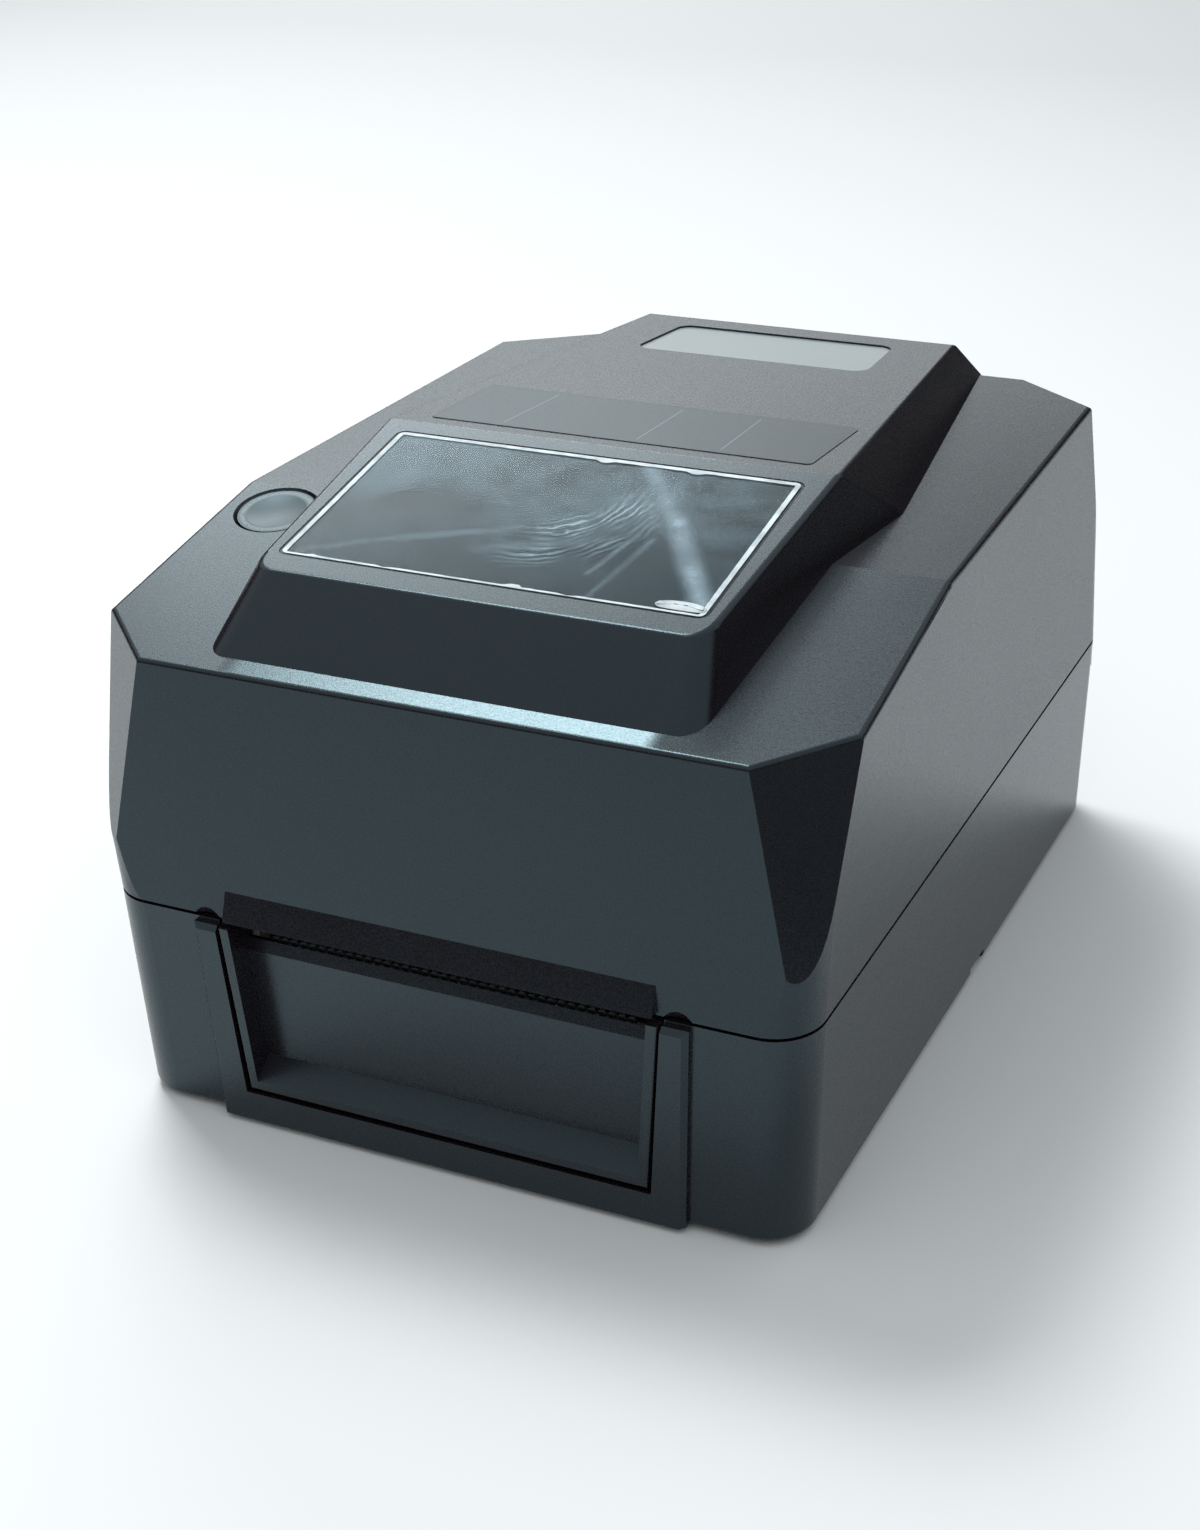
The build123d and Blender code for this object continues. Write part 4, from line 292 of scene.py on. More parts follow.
# settings of every moulded plastic in the printer
mouldings = {
    "casing_plastic": dict(tone=colour(0.0085, 0.0042, 0.0062), bloom=colour(0.0115, 0.0072, 0.0100), grain=1700.0, rough=(0.24, 0.30), depth=0.000003, rub=0.35, dust=0.05, ior=1.62),
    "cover_plastic": dict(tone=colour(0.0085, 0.0042, 0.0064), bloom=colour(0.0120, 0.0080, 0.0112), grain=1700.0, rough=(0.25, 0.33), depth=0.0000045, rub=0.45, dust=0.06, ior=1.58, ledge=-0.185, ledgeCalm=0.06),
    "panel_plastic": dict(tone=colour(0.0120, 0.0070, 0.0100), bloom=colour(0.0150, 0.0100, 0.0135), grain=1700.0, rough=(0.23, 0.30), depth=0.000003, rub=0.3, dust=0.04, ior=1.6),
    "inner_plastic": dict(tone=colour(0.018, 0.021, 0.023), bloom=colour(0.030, 0.034, 0.037), grain=1500.0, rough=(0.48, 0.60), depth=0.00006, rub=0.25, dust=0.3),
    "guide_plastic": dict(tone=colour(0.010, 0.085, 0.175), bloom=colour(0.016, 0.115, 0.225), grain=2100.0, rough=(0.28, 0.40), depth=0.00003, rub=0.3, dust=0.15),
    "gear_plastic": dict(tone=colour(0.62, 0.60, 0.52), bloom=colour(0.72, 0.70, 0.62), grain=2400.0, rough=(0.35, 0.48), depth=0.00002, rub=0.0, dust=0.1),
    "connector_plastic": dict(tone=colour(0.012, 0.012, 0.013), bloom=colour(0.020, 0.020, 0.021), grain=2600.0, rough=(0.30, 0.42), depth=0.00002, rub=0.3, dust=0.1),
    "button_plastic": dict(tone=colour(0.030, 0.040, 0.046), bloom=colour(0.038, 0.049, 0.056), grain=1700.0, rough=(0.34, 0.40), depth=0.000002, rub=0.0, dust=0.0),
    "ring_plastic": dict(tone=colour(0.060, 0.078, 0.086), bloom=colour(0.080, 0.100, 0.110), grain=1700.0, rough=(0.26, 0.34), depth=0.000002, rub=0.9, dust=0.0),
    "rubber": dict(tone=colour(0.012, 0.012, 0.012), bloom=colour(0.022, 0.022, 0.022), grain=900.0, rough=(0.62, 0.78), depth=0.00005, rub=0.1, dust=0.4),
    "motor_paint": dict(tone=colour(0.010, 0.010, 0.011), bloom=colour(0.020, 0.020, 0.022), grain=1900.0, rough=(0.34, 0.46), depth=0.00004, rub=0.6, dust=0.2),
    "ceramic": dict(tone=colour(0.58, 0.56, 0.50), bloom=colour(0.68, 0.66, 0.60), grain=2600.0, rough=(0.16, 0.26), depth=0.00001, rub=0.0, dust=0.05),
}


# the ledge in front of the raised middle leans a little further forward than the shoulders
def makeLedgeTurn():
    group, given, out = newGroup(
        "ledgeTurn",
        (
            ("Tilt", "NodeSocketFloat", -0.15),
            ("Half Width", "NodeSocketFloat", 0.066),
            ("Back", "NodeSocketFloat", -0.118),
            ("Height", "NodeSocketFloat", 0.136),
        ),
        (("Normal", "NodeSocketVector"), ("Mask", "NodeSocketFloat")),
    )
    split = addNode(group, "ShaderNodeSeparateXYZ")
    group.links.new(objectPlace(group), split.inputs["Vector"])
    flat = addNode(group, "ShaderNodeNewGeometry")
    facing = addNode(group, "ShaderNodeSeparateXYZ")
    group.links.new(flat.outputs["Normal"], facing.inputs["Vector"])
    side = mathNode(group, "SUBTRACT", given.outputs["Half Width"], mathNode(group, "ABSOLUTE", split.outputs["X"]))
    mask = spread(group, side, 0.0, 0.006)
    rear = mathNode(group, "SUBTRACT", given.outputs["Back"], split.outputs["Y"])
    mask = mathNode(group, "MULTIPLY", mask, spread(group, rear, 0.0, 0.001))
    above = mathNode(group, "SUBTRACT", split.outputs["Z"], given.outputs["Height"])
    mask = mathNode(group, "MULTIPLY", mask, spread(group, above, 0.0, 0.002))
    mask = mathNode(group, "MULTIPLY", mask, spread(group, facing.outputs["Z"], 0.90, 0.97))
    tilt = addNode(group, "ShaderNodeCombineXYZ")
    group.links.new(mathNode(group, "MULTIPLY", mask, given.outputs["Tilt"]), tilt.inputs["Y"])
    total = addNode(group, "ShaderNodeVectorMath", operation="ADD")
    group.links.new(flat.outputs["Normal"], total.inputs[0])
    group.links.new(tilt.outputs["Vector"], total.inputs[1])
    even = addNode(group, "ShaderNodeVectorMath", operation="NORMALIZE")
    group.links.new(total.outputs["Vector"], even.inputs[0])
    group.links.new(even.outputs["Vector"], out.inputs["Normal"])
    group.links.new(mask, out.inputs["Mask"])
    return group


ledgeTurn = makeLedgeTurn()


def mouldedPlastic(slot, look):
    material, tree, shader = newTree(slot)
    grain = useGroup(tree, mouldGrain, **{
        "Tone": look["tone"],
        "Bloom": look["bloom"],
        "Grain Scale": look["grain"],
        "Rough Low": look["rough"][0],
        "Rough High": look["rough"][1],
    })
    rub = useGroup(tree, edgeRub, Amount=look["rub"])
    dust = useGroup(tree, fallenDust, Amount=look["dust"])
    worn = tuple(min(1.0, 2.4 * channel + 0.02) for channel in look["bloom"][:3]) + (1.0,)
    base = mixColour(tree, rub.outputs["Mask"], grain.outputs["Color"], worn)
    base = mixColour(tree, dust.outputs["Mask"], base, colour(0.32, 0.34, 0.35))
    tree.links.new(base, shader.inputs["Base Color"])
    tree.links.new(grain.outputs["Roughness"], shader.inputs["Roughness"])
    shader.inputs["Specular Tint"].default_value = look.get("tint", mouldTint)
    shader.inputs["IOR"].default_value = look.get("ior", 1.5)
    bump = addBump(tree, shader, grain.outputs["Height"], look["depth"])
    if look.get("ledge"):
        turned = useGroup(tree, ledgeTurn, Tilt=look["ledge"])
        tree.links.new(turned.outputs["Normal"], bump.inputs["Normal"])
        calm = mathNode(tree, "MULTIPLY", turned.outputs["Mask"], look["ledgeCalm"])
        calm = mathNode(tree, "SUBTRACT", grain.outputs["Roughness"], calm)
        tree.links.new(calm, shader.inputs["Roughness"])
    return material, tree, shader


metals = {
    "steel": dict(base=(0.50, 0.51, 0.52), dark=(0.34, 0.35, 0.36), along=(2.0, 60.0, 60.0), rough=(0.22, 0.36)),
    "sheet_steel": dict(base=(0.46, 0.48, 0.49), dark=(0.33, 0.34, 0.36), along=(30.0, 4.0, 30.0), rough=(0.32, 0.48)),
    "aluminium": dict(base=(0.62, 0.63, 0.64), dark=(0.46, 0.47, 0.48), along=(2.0, 70.0, 70.0), rough=(0.30, 0.44)),
    "connector_metal": dict(base=(0.64, 0.64, 0.65), dark=(0.48, 0.48, 0.50), along=(20.0, 20.0, 3.0), rough=(0.14, 0.26)),
    "brass": dict(base=(0.62, 0.46, 0.20), dark=(0.42, 0.30, 0.12), along=(3.0, 40.0, 40.0), rough=(0.26, 0.40)),
}


def drawnMetal(slot, look):
    material, tree, shader = newTree(slot)
    lines = useGroup(tree, drawnLines, **{"Along": look["along"], "Rough Low": look["rough"][0], "Rough High": look["rough"][1]})
    rub = useGroup(tree, edgeRub, Amount=0.5, Radius=0.0004)
    base = mixColour(tree, lines.outputs["Line"], colour(*look["dark"]), colour(*look["base"]))
    base = mixColour(tree, rub.outputs["Mask"], base, colour(*(min(1.0, 1.3 * c) for c in look["base"])))
    tree.links.new(base, shader.inputs["Base Color"])
    tree.links.new(lines.outputs["Roughness"], shader.inputs["Roughness"])
    shader.inputs["Metallic"].default_value = 1.0
    addBump(tree, shader, lines.outputs["Line"], 0.00002)
    return material


# green board: solder mask over copper tracks
def circuitBoard(slot):
    look = {"mask": colour(0.008, 0.060, 0.030), "track": colour(0.016, 0.105, 0.050), "pitch": 240.0, "rough": 0.32}
    material, tree, shader = newTree(slot)
    tracks = addNode(tree, "ShaderNodeTexBrick", offset=0.35, squash=2.5, squash_frequency=3)
    tracks.inputs["Scale"].default_value = look["pitch"]
    tracks.inputs["Mortar Size"].default_value = 0.03
    tree.links.new(objectPlace(tree), tracks.inputs["Vector"])
    base = mixColour(tree, tracks.outputs["Fac"], look["mask"], look["track"])
    tree.links.new(base, shader.inputs["Base Color"])
    rough = spread(tree, noise(tree, objectPlace(tree), 300.0), 0.3, 0.7, look["rough"] - 0.06, look["rough"] + 0.08)
    tree.links.new(rough, shader.inputs["Roughness"])
    addBump(tree, shader, tracks.outputs["Fac"], 0.00003)
    return material


# smoky clear pane, with fine scratches
def smokyPane(slot):
    look = {"tint": colour(0.020, 0.030, 0.038), "haze": colour(0.032, 0.046, 0.056), "clear": 0.5, "rough": (0.16, 0.24)}
    material, tree, shader = newTree(slot)
    place = objectPlace(tree)
    cloud = noise(tree, place, 22.0, 4.0, 0.6, 0.4)
    tree.links.new(mixColour(tree, spread(tree, cloud, 0.35, 0.7), look["tint"], look["haze"]), shader.inputs["Base Color"])
    tree.links.new(spread(tree, cloud, 0.3, 0.7, *look["rough"]), shader.inputs["Roughness"])
    shader.inputs["Transmission Weight"].default_value = look["clear"]
    shader.inputs["IOR"].default_value = 1.25
    shader.inputs["Specular Tint"].default_value = mouldTint
    return material


# one soft stroke between two points of the film
def makeWipeStroke():
    group, given, out = newGroup(
        "wipeStroke",
        (
            ("Start", "NodeSocketVector", (0.0, 0.0, 0.0)),
            ("End", "NodeSocketVector", (0.01, 0.0, 0.0)),
            ("Width", "NodeSocketFloat", 0.003),
            ("Amount", "NodeSocketFloat", 0.5),
        ),
        (("Mask", "NodeSocketFloat"),),
    )
    place = objectPlace(group)
    run = addNode(group, "ShaderNodeVectorMath", operation="SUBTRACT")
    group.links.new(given.outputs["End"], run.inputs[0])
    group.links.new(given.outputs["Start"], run.inputs[1])
    reach = addNode(group, "ShaderNodeVectorMath", operation="SUBTRACT")
    group.links.new(place, reach.inputs[0])
    group.links.new(given.outputs["Start"], reach.inputs[1])
    along = addNode(group, "ShaderNodeVectorMath", operation="DOT_PRODUCT")
    group.links.new(reach.outputs["Vector"], along.inputs[0])
    group.links.new(run.outputs["Vector"], along.inputs[1])
    whole = addNode(group, "ShaderNodeVectorMath", operation="DOT_PRODUCT")
    group.links.new(run.outputs["Vector"], whole.inputs[0])
    group.links.new(run.outputs["Vector"], whole.inputs[1])
    share = mathNode(group, "DIVIDE", along.outputs["Value"], whole.outputs["Value"], clamp=True)
    foot = addNode(group, "ShaderNodeVectorMath", operation="SCALE")
    group.links.new(run.outputs["Vector"], foot.inputs[0])
    group.links.new(share, foot.inputs["Scale"])
    gap = addNode(group, "ShaderNodeVectorMath", operation="DISTANCE")
    group.links.new(reach.outputs["Vector"], gap.inputs[0])
    group.links.new(foot.outputs["Vector"], gap.inputs[1])
    near = addNode(group, "ShaderNodeMapRange", interpolation_type="SMOOTHSTEP")
    group.links.new(gap.outputs["Value"], near.inputs["Value"])
    group.links.new(given.outputs["Width"], near.inputs["From Max"])
    near.inputs["To Min"].default_value = 1.0
    near.inputs["To Max"].default_value = 0.0
    uneven = spread(group, noise(group, place, 130.0, 4.0, 0.6), 0.25, 0.65, 0.35, 1.0)
    mask = mathNode(group, "MULTIPLY", near.outputs["Result"], uneven)
    group.links.new(mathNode(group, "MULTIPLY", mask, given.outputs["Amount"]), out.inputs["Mask"])
    return group


wipeStroke = makeWipeStroke()
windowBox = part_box("window_film")
windowSlope = math.atan2(windowBox[1][2] - windowBox[0][2], windowBox[1][1] - windowBox[0][1])


# a point of the window: across, up the slope from the film's lower edge, above the film
def onWindow(across, up, rise=0.0):
    return (
        across,
        windowBox[0][1] + up * math.cos(windowSlope) - rise * math.sin(windowSlope),
        windowBox[0][2] + up * math.sin(windowSlope) + rise * math.cos(windowSlope),
    )


# protective film: hazy, with wiped smears that sweep across it
def hazyFilm(slot):
    look = {
        "milk": colour(0.13, 0.21, 0.26),
        "white": colour(0.52, 0.66, 0.74),
        "thin": 0.05,
        "thick": 0.72,
        "rough": (0.18, 0.44),
        "strokes": (
            ((0.016, 0.072), (0.038, 0.042), 0.0050, 0.46),
            ((0.038, 0.042), (0.062, 0.004), 0.0056, 0.60),
            ((-0.059, 0.003), (-0.036, 0.015), 0.0022, 0.22),
            ((-0.036, 0.015), (-0.004, 0.029), 0.0030, 0.26),
            ((0.025, 0.012), (0.030, 0.034), 0.0016, 0.26),
            ((0.030, 0.002), (0.035, 0.032), 0.0018, 0.26),
            ((-0.040, 0.052), (0.012, 0.034), 0.0090, 0.14),
            ((-0.010, 0.016), (0.024, 0.030), 0.0040, 0.16),
            ((0.000, 0.044), (0.052, 0.058), 0.0080, 0.14),
        ),
        "swirl": (-0.006, 0.052),
        "swirlReach": (0.022, 0.038),
    }
    material, tree, shader = newTree(slot)
    place = objectPlace(tree)
    centre = addNode(tree, "ShaderNodeVectorMath", operation="SUBTRACT")
    tree.links.new(place, centre.inputs[0])
    centre.inputs[1].default_value = onWindow(*look["swirl"])
    away = addNode(tree, "ShaderNodeVectorMath", operation="LENGTH")
    tree.links.new(centre.outputs["Vector"], away.inputs[0])
    ripple = noise(tree, place, 55.0, 3.0, 0.6)
    reach = mathNode(tree, "ADD", away.outputs["Value"], mathNode(tree, "MULTIPLY", ripple, 0.012))
    rings = mathNode(tree, "SINE", mathNode(tree, "MULTIPLY", reach, 2600.0))
    rings = spread(tree, rings, -0.2, 1.0)
    parts = addNode(tree, "ShaderNodeSeparateXYZ")
    tree.links.new(centre.outputs["Vector"], parts.inputs["Vector"])
    inner = spread(tree, away.outputs["Value"], look["swirlReach"][0] - 0.006, look["swirlReach"][0])
    outer = spread(tree, away.outputs["Value"], look["swirlReach"][1] + 0.006, look["swirlReach"][1])
    swirl = mathNode(tree, "MULTIPLY", mathNode(tree, "MULTIPLY", inner, outer), rings)
    swirl = mathNode(tree, "MULTIPLY", swirl, spread(tree, parts.outputs["X"], -0.004, 0.012))
    swirl = mathNode(tree, "MULTIPLY", swirl, spread(tree, parts.outputs["Y"], 0.012, -0.010))
    broken = spread(tree, noise(tree, place, 90.0, 3.0, 0.55), 0.36, 0.62)
    swirl = mathNode(tree, "MULTIPLY", swirl, broken)
    cloud = spread(tree, noise(tree, place, 24.0, 3.0, 0.55, 0.5), 0.40, 0.72)
    fade = spread(tree, parts.outputs["Y"], -0.050, 0.004)
    cloud = mathNode(tree, "MULTIPLY", cloud, fade)
    amount = mathNode(tree, "ADD", mathNode(tree, "MULTIPLY", cloud, 0.42), mathNode(tree, "MULTIPLY", swirl, 0.55))
    for start, end, width, strength in look["strokes"]:
        stroke = useGroup(tree, wipeStroke, Start=onWindow(*start), End=onWindow(*end), Width=width, Amount=strength)
        amount = mathNode(tree, "MAXIMUM", amount, mathNode(tree, "ADD", mathNode(tree, "MULTIPLY", amount, 0.5), stroke.outputs["Mask"]))
    tree.links.new(spread(tree, amount, 0.0, 1.0, look["thin"], look["thick"]), shader.inputs["Alpha"])
    tree.links.new(spread(tree, amount, 0.0, 0.6, *look["rough"]), shader.inputs["Roughness"])
    tree.links.new(mixColour(tree, amount, look["milk"], look["white"]), shader.inputs["Base Color"])
    shader.inputs["Specular Tint"].default_value = mouldTint
    addBump(tree, shader, noise(tree, place, 40.0, 0.0), 0.00005, 0.3)
    return material


# pale translucent rear pane
def palePane(slot):
    look = {"tone": colour(0.25, 0.30, 0.31), "clouded": colour(0.30, 0.35, 0.36), "rough": (0.28, 0.34), "clear": 0.25}
    material, tree, shader = newTree(slot)
    cloud = spread(tree, noise(tree, objectPlace(tree), 18.0, 2.0, 0.5, 0.4), 0.3, 0.7)
    tree.links.new(mixColour(tree, cloud, look["tone"], look["clouded"]), shader.inputs["Base Color"])
    tree.links.new(spread(tree, cloud, 0.0, 1.0, *look["rough"]), shader.inputs["Roughness"])
    shader.inputs["Transmission Weight"].default_value = look["clear"]
    return material


# bare label: smooth foil with a dark border line and pale column lines, nothing written on it
def bareLabel(slot):
    look = {
        "tone": colour(0.012, 0.017, 0.020),
        "fibre": colour(0.022, 0.029, 0.033),
        "dark": colour(0.002, 0.003, 0.003),
        "pale": colour(0.16, 0.19, 0.20),
        "rough": (0.30, 0.38),
        "columns": (-0.0370, 0.0057, 0.0316),
        "lean": 0.075,  # the column lines lean a little outwards
        "line": 0.00016,
        "inset": 0.0012,
    }
    low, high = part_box("cover_label")
    middle = (low[1] + high[1]) / 2
    material, tree, shader = newTree(slot)
    place = objectPlace(tree)
    fibre = noise(tree, place, 700.0, 5.0, 0.7, 0.8)
    base = mixColour(tree, spread(tree, fibre, 0.35, 0.7), look["tone"], look["fibre"])
    split = addNode(tree, "ShaderNodeSeparateXYZ")
    tree.links.new(place, split.inputs["Vector"])
    along = mathNode(tree, "SUBTRACT", split.outputs["Y"], middle)
    fromMiddle = mathNode(tree, "ABSOLUTE", along)
    fromCentre = mathNode(tree, "ABSOLUTE", split.outputs["X"])
    toSide = mathNode(tree, "SUBTRACT", high[0] - look["inset"], fromCentre)
    toEnd = mathNode(tree, "SUBTRACT", (high[1] - low[1]) / 2 - look["inset"], fromMiddle)
    edge = mathNode(tree, "ABSOLUTE", mathNode(tree, "MINIMUM", toSide, toEnd))
    border = spread(tree, edge, 1.6 * look["line"], 0.9 * look["line"])
    inside = spread(tree, mathNode(tree, "MINIMUM", toSide, toEnd), 0.0015, 0.0018)
    base = mixColour(tree, border, base, look["dark"])
    for column in look["columns"]:
        slant = mathNode(tree, "MULTIPLY", along, -look["lean"] * math.copysign(1.0, column) * abs(column) / high[0])
        off = mathNode(tree, "ABSOLUTE", mathNode(tree, "SUBTRACT", split.outputs["X"], mathNode(tree, "ADD", slant, column)))
        line = mathNode(tree, "MULTIPLY", spread(tree, off, 1.4 * look["line"], 0.7 * look["line"]), inside)
        base = mixColour(tree, line, base, look["pale"])
    tree.links.new(base, shader.inputs["Base Color"])
    tree.links.new(spread(tree, fibre, 0.3, 0.7, *look["rough"]), shader.inputs["Roughness"])
    shader.inputs["Specular Tint"].default_value = mouldTint
    addBump(tree, shader, fibre, 0.00001, 0.6)
    return material


# blackened spring steel of the tear bar
def blackedSteel(slot):
    look = {"dark": colour(0.020, 0.021, 0.023), "worn": colour(0.055, 0.058, 0.062), "rough": (0.34, 0.46)}
    material, tree, shader = newTree(slot)
    lines = useGroup(tree, drawnLines, **{"Along": (4.0, 60.0, 60.0), "Rough Low": look["rough"][0], "Rough High": look["rough"][1]})
    rub = useGroup(tree, edgeRub, Amount=0.4, Radius=0.0003)
    base = mixColour(tree, lines.outputs["Line"], look["dark"], look["worn"])
    base = mixColour(tree, rub.outputs["Mask"], base, colour(0.16, 0.17, 0.18))
    tree.links.new(base, shader.inputs["Base Color"])
    tree.links.new(lines.outputs["Roughness"], shader.inputs["Roughness"])
    shader.inputs["Metallic"].default_value = 0.8
    addBump(tree, shader, lines.outputs["Line"], 0.00001)
    return material


# torn white edge of the film
def filmEdge(slot):
    look = {"milk": colour(0.40, 0.47, 0.50), "white": colour(0.64, 0.71, 0.74), "rough": (0.36, 0.48)}
    material, tree, shader = newTree(slot)
    place = objectPlace(tree)
    mottle = spread(tree, noise(tree, place, 140.0, 3.0, 0.55), 0.30, 0.62)
    tree.links.new(mixColour(tree, mottle, look["milk"], look["white"]), shader.inputs["Base Color"])
    tree.links.new(spread(tree, mottle, 0.0, 1.0, 0.82, 1.0), shader.inputs["Alpha"])
    tree.links.new(spread(tree, mottle, 0.0, 1.0, *look["rough"]), shader.inputs["Roughness"])
    addBump(tree, shader, mottle, 0.00004, 0.5)
    return material


finish = {slot: mouldedPlastic(slot, look)[0] for slot, look in mouldings.items()}
finish.update({slot: drawnMetal(slot, look) for slot, look in metals.items()})
finish["board"] = circuitBoard("board")
finish["clear_panes"] = smokyPane("clear_panes")
finish["film"] = hazyFilm("film")
finish["pale_pane"] = palePane("pale_pane")
finish["label_stock"] = bareLabel("label_stock")
finish["film_edge"] = filmEdge("film_edge")
finish["black_steel"] = blackedSteel("black_steel")
slotOf["tear_bar"] = "black_steel"  # the bar is steel, but blackened

for name, piece in nodes.items():
    for place in piece.material_slots:
        place.material = finish[slotOf[name]]
print("materials given to", len(nodes), "nodes")


# White edge that the film has drawn up along the window, and its lifted corner

edgeSet = {
    "half": 0.0636,
    "length": (windowBox[1][1] - windowBox[0][1]) / math.cos(windowSlope),
    "corner": 0.0018,
    "width": 0.0015,
    "thin": 0.0007,  # how much narrower it is along the bottom
    "cuts": 60,
    "ragged": 0.00012,
    "thick": 0.00014,
    "rise": 0.00024,
}
sheetSet = {"thick": 0.00004, "rise": 0.00007}


# clears the selection of a piece and leaves it in object mode, ready to pick in
def clearPick(piece, kind):
    if bpy.context.mode != "OBJECT":
        bpy.ops.object.mode_set(mode="OBJECT")
    bpy.ops.object.select_all(action="DESELECT")
    piece.select_set(True)
    bpy.context.view_layer.objects.active = piece
    bpy.ops.object.mode_set(mode="EDIT")
    bpy.ops.mesh.select_mode(type=kind)
    bpy.ops.mesh.select_all(action="DESELECT")
    bpy.ops.object.mode_set(mode="OBJECT")


def pickVertices(piece, test):
    clearPick(piece, "VERT")
    for vertex in piece.data.vertices:
        vertex.select = test(vertex.co)
    bpy.ops.object.mode_set(mode="EDIT")


def pickLongEdges(piece, least):
    clearPick(piece, "EDGE")
    ends = piece.data.vertices
    for edge in piece.data.edges:
        edge.select = (ends[edge.vertices[0]].co - ends[edge.vertices[1]].co).length > least
    bpy.ops.object.mode_set(mode="EDIT")


def applyAll(piece):
    bpy.ops.object.mode_set(mode="OBJECT")
    for modifier in list(piece.modifiers):
        bpy.ops.object.modifier_apply(modifier=modifier.name)


# lays a piece made flat round the origin onto the window
def layOnWindow(piece, rise):
    bpy.ops.object.mode_set(mode="OBJECT")
    piece.rotation_euler = (windowSlope, 0.0, 0.0)
    piece.location = onWindow(0.0, edgeSet["length"] / 2, rise)
    bpy.ops.object.transform_apply(location=True, rotation=True, scale=True)


# the film itself, lying a hair above the pane instead of on its very face
def filmSheet():
    bpy.ops.object.select_all(action="DESELECT")
    bpy.ops.mesh.primitive_plane_add(size=1.0)
    sheet = bpy.context.object
    sheet.name = "film_sheet"
    sheet.scale = (2 * edgeSet["half"], edgeSet["length"], 1.0)
    bpy.ops.object.transform_apply(scale=True)
    bpy.ops.object.mode_set(mode="EDIT")
    bpy.ops.mesh.select_all(action="SELECT")
    bpy.ops.mesh.bevel(offset=edgeSet["corner"], segments=5, affect="VERTICES")
    bpy.ops.object.mode_set(mode="OBJECT")
    sheet.modifiers.new("thickness", "SOLIDIFY").thickness = sheetSet["thick"]
    applyAll(sheet)
    layOnWindow(sheet, sheetSet["rise"])
    sheet.data.materials.append(finish["film"])
    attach(sheet, "cover")
    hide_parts("window_film")


def filmBorder():
    look = edgeSet
    bpy.ops.object.select_all(action="DESELECT")
    bpy.ops.mesh.primitive_plane_add(size=1.0)
    border = bpy.context.object
    border.name = "film_edge"
    border.scale = (2 * look["half"], look["length"], 1.0)
    bpy.ops.object.transform_apply(scale=True)
    bpy.ops.object.mode_set(mode="EDIT")
    bpy.ops.mesh.select_all(action="SELECT")
    bpy.ops.mesh.bevel(offset=look["corner"], segments=5, affect="VERTICES")
    bpy.ops.mesh.select_all(action="SELECT")
    bpy.ops.mesh.inset(thickness=look["width"])
    bpy.ops.mesh.delete(type="FACE")
    pickLongEdges(border, 0.01)
    bpy.ops.mesh.subdivide(number_cuts=look["cuts"])
    insideX = look["half"] - look["width"] * 0.6
    insideY = look["length"] / 2 - look["width"] * 0.6
    pickVertices(border, lambda at: abs(at.x) < insideX and -insideY < at.y < -insideY + look["width"])
    bpy.ops.transform.translate(value=(0.0, -look["thin"], 0.0))
    pickVertices(border, lambda at: abs(at.x) < insideX and abs(at.y) < insideY + look["thin"])
    bpy.ops.transform.vertex_random(offset=look["ragged"], uniform=0.0, normal=0.0, seed=7)
    for across, seed in ((-0.052, 3), (-0.031, 5), (-0.012, 8), (0.009, 11), (0.024, 13)):
        pickVertices(border, lambda at: abs(at.x - across) < 0.0022 and -insideY - look["thin"] < at.y < -insideY + look["width"])
        bpy.ops.transform.vertex_random(offset=0.0012, uniform=0.0, normal=0.0, seed=seed)
    for across in (0.0035, 0.0325):
        pickVertices(border, lambda at: abs(at.x - across) < 0.0016 and insideY - look["width"] < at.y < insideY)
        bpy.ops.transform.translate(value=(0.0, -0.0010, 0.0))
    bpy.ops.object.mode_set(mode="OBJECT")
    for vertex in border.data.vertices:
        vertex.co.z = 0.0
    border.modifiers.new("thickness", "SOLIDIFY").thickness = look["thick"]
    applyAll(border)
    layOnWindow(border, look["rise"])
    border.data.materials.append(finish["film_edge"])
    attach(border, "cover")


# the corner where the film has come off and curls up
def filmCorner():
    look = {"middle": (0.0560, 0.0030), "half": (0.0074, 0.0026), "curl": 0.0006, "thick": 0.00012}
    bpy.ops.object.select_all(action="DESELECT")
    bpy.ops.mesh.primitive_circle_add(vertices=32, radius=1.0, fill_type="NGON")
    flap = bpy.context.object
    flap.name = "film_corner"
    flap.scale = (look["half"][0], look["half"][1], 1.0)
    bpy.ops.object.transform_apply(scale=True)
    bpy.ops.object.mode_set(mode="EDIT")
    bpy.ops.mesh.select_all(action="SELECT")
    bpy.ops.mesh.bisect(plane_co=(0.0, -0.0019, 0.0), plane_no=(0.0, -1.0, 0.0), clear_outer=True)
    bpy.ops.mesh.select_all(action="SELECT")
    for step, lift in enumerate((0.30, 0.28, 0.2)):
        bpy.ops.mesh.inset(thickness=0.00055)
        bpy.ops.transform.translate(value=(0.0, 0.0, look["curl"] * lift))
    bpy.ops.object.mode_set(mode="OBJECT")
    flap.modifiers.new("thickness", "SOLIDIFY").thickness = look["thick"]
    soft = flap.modifiers.new("soft", "SUBSURF")
    soft.levels = soft.render_levels = 2
    applyAll(flap)
    bpy.ops.object.shade_smooth()
    flap.location = (look["middle"][0], look["middle"][1] - edgeSet["length"] / 2, 0.0)
    bpy.ops.object.transform_apply(location=True)
    layOnWindow(flap, edgeSet["rise"] + 0.0001)
    flap.data.materials.append(finish["film_edge"])
    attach(flap, "cover")


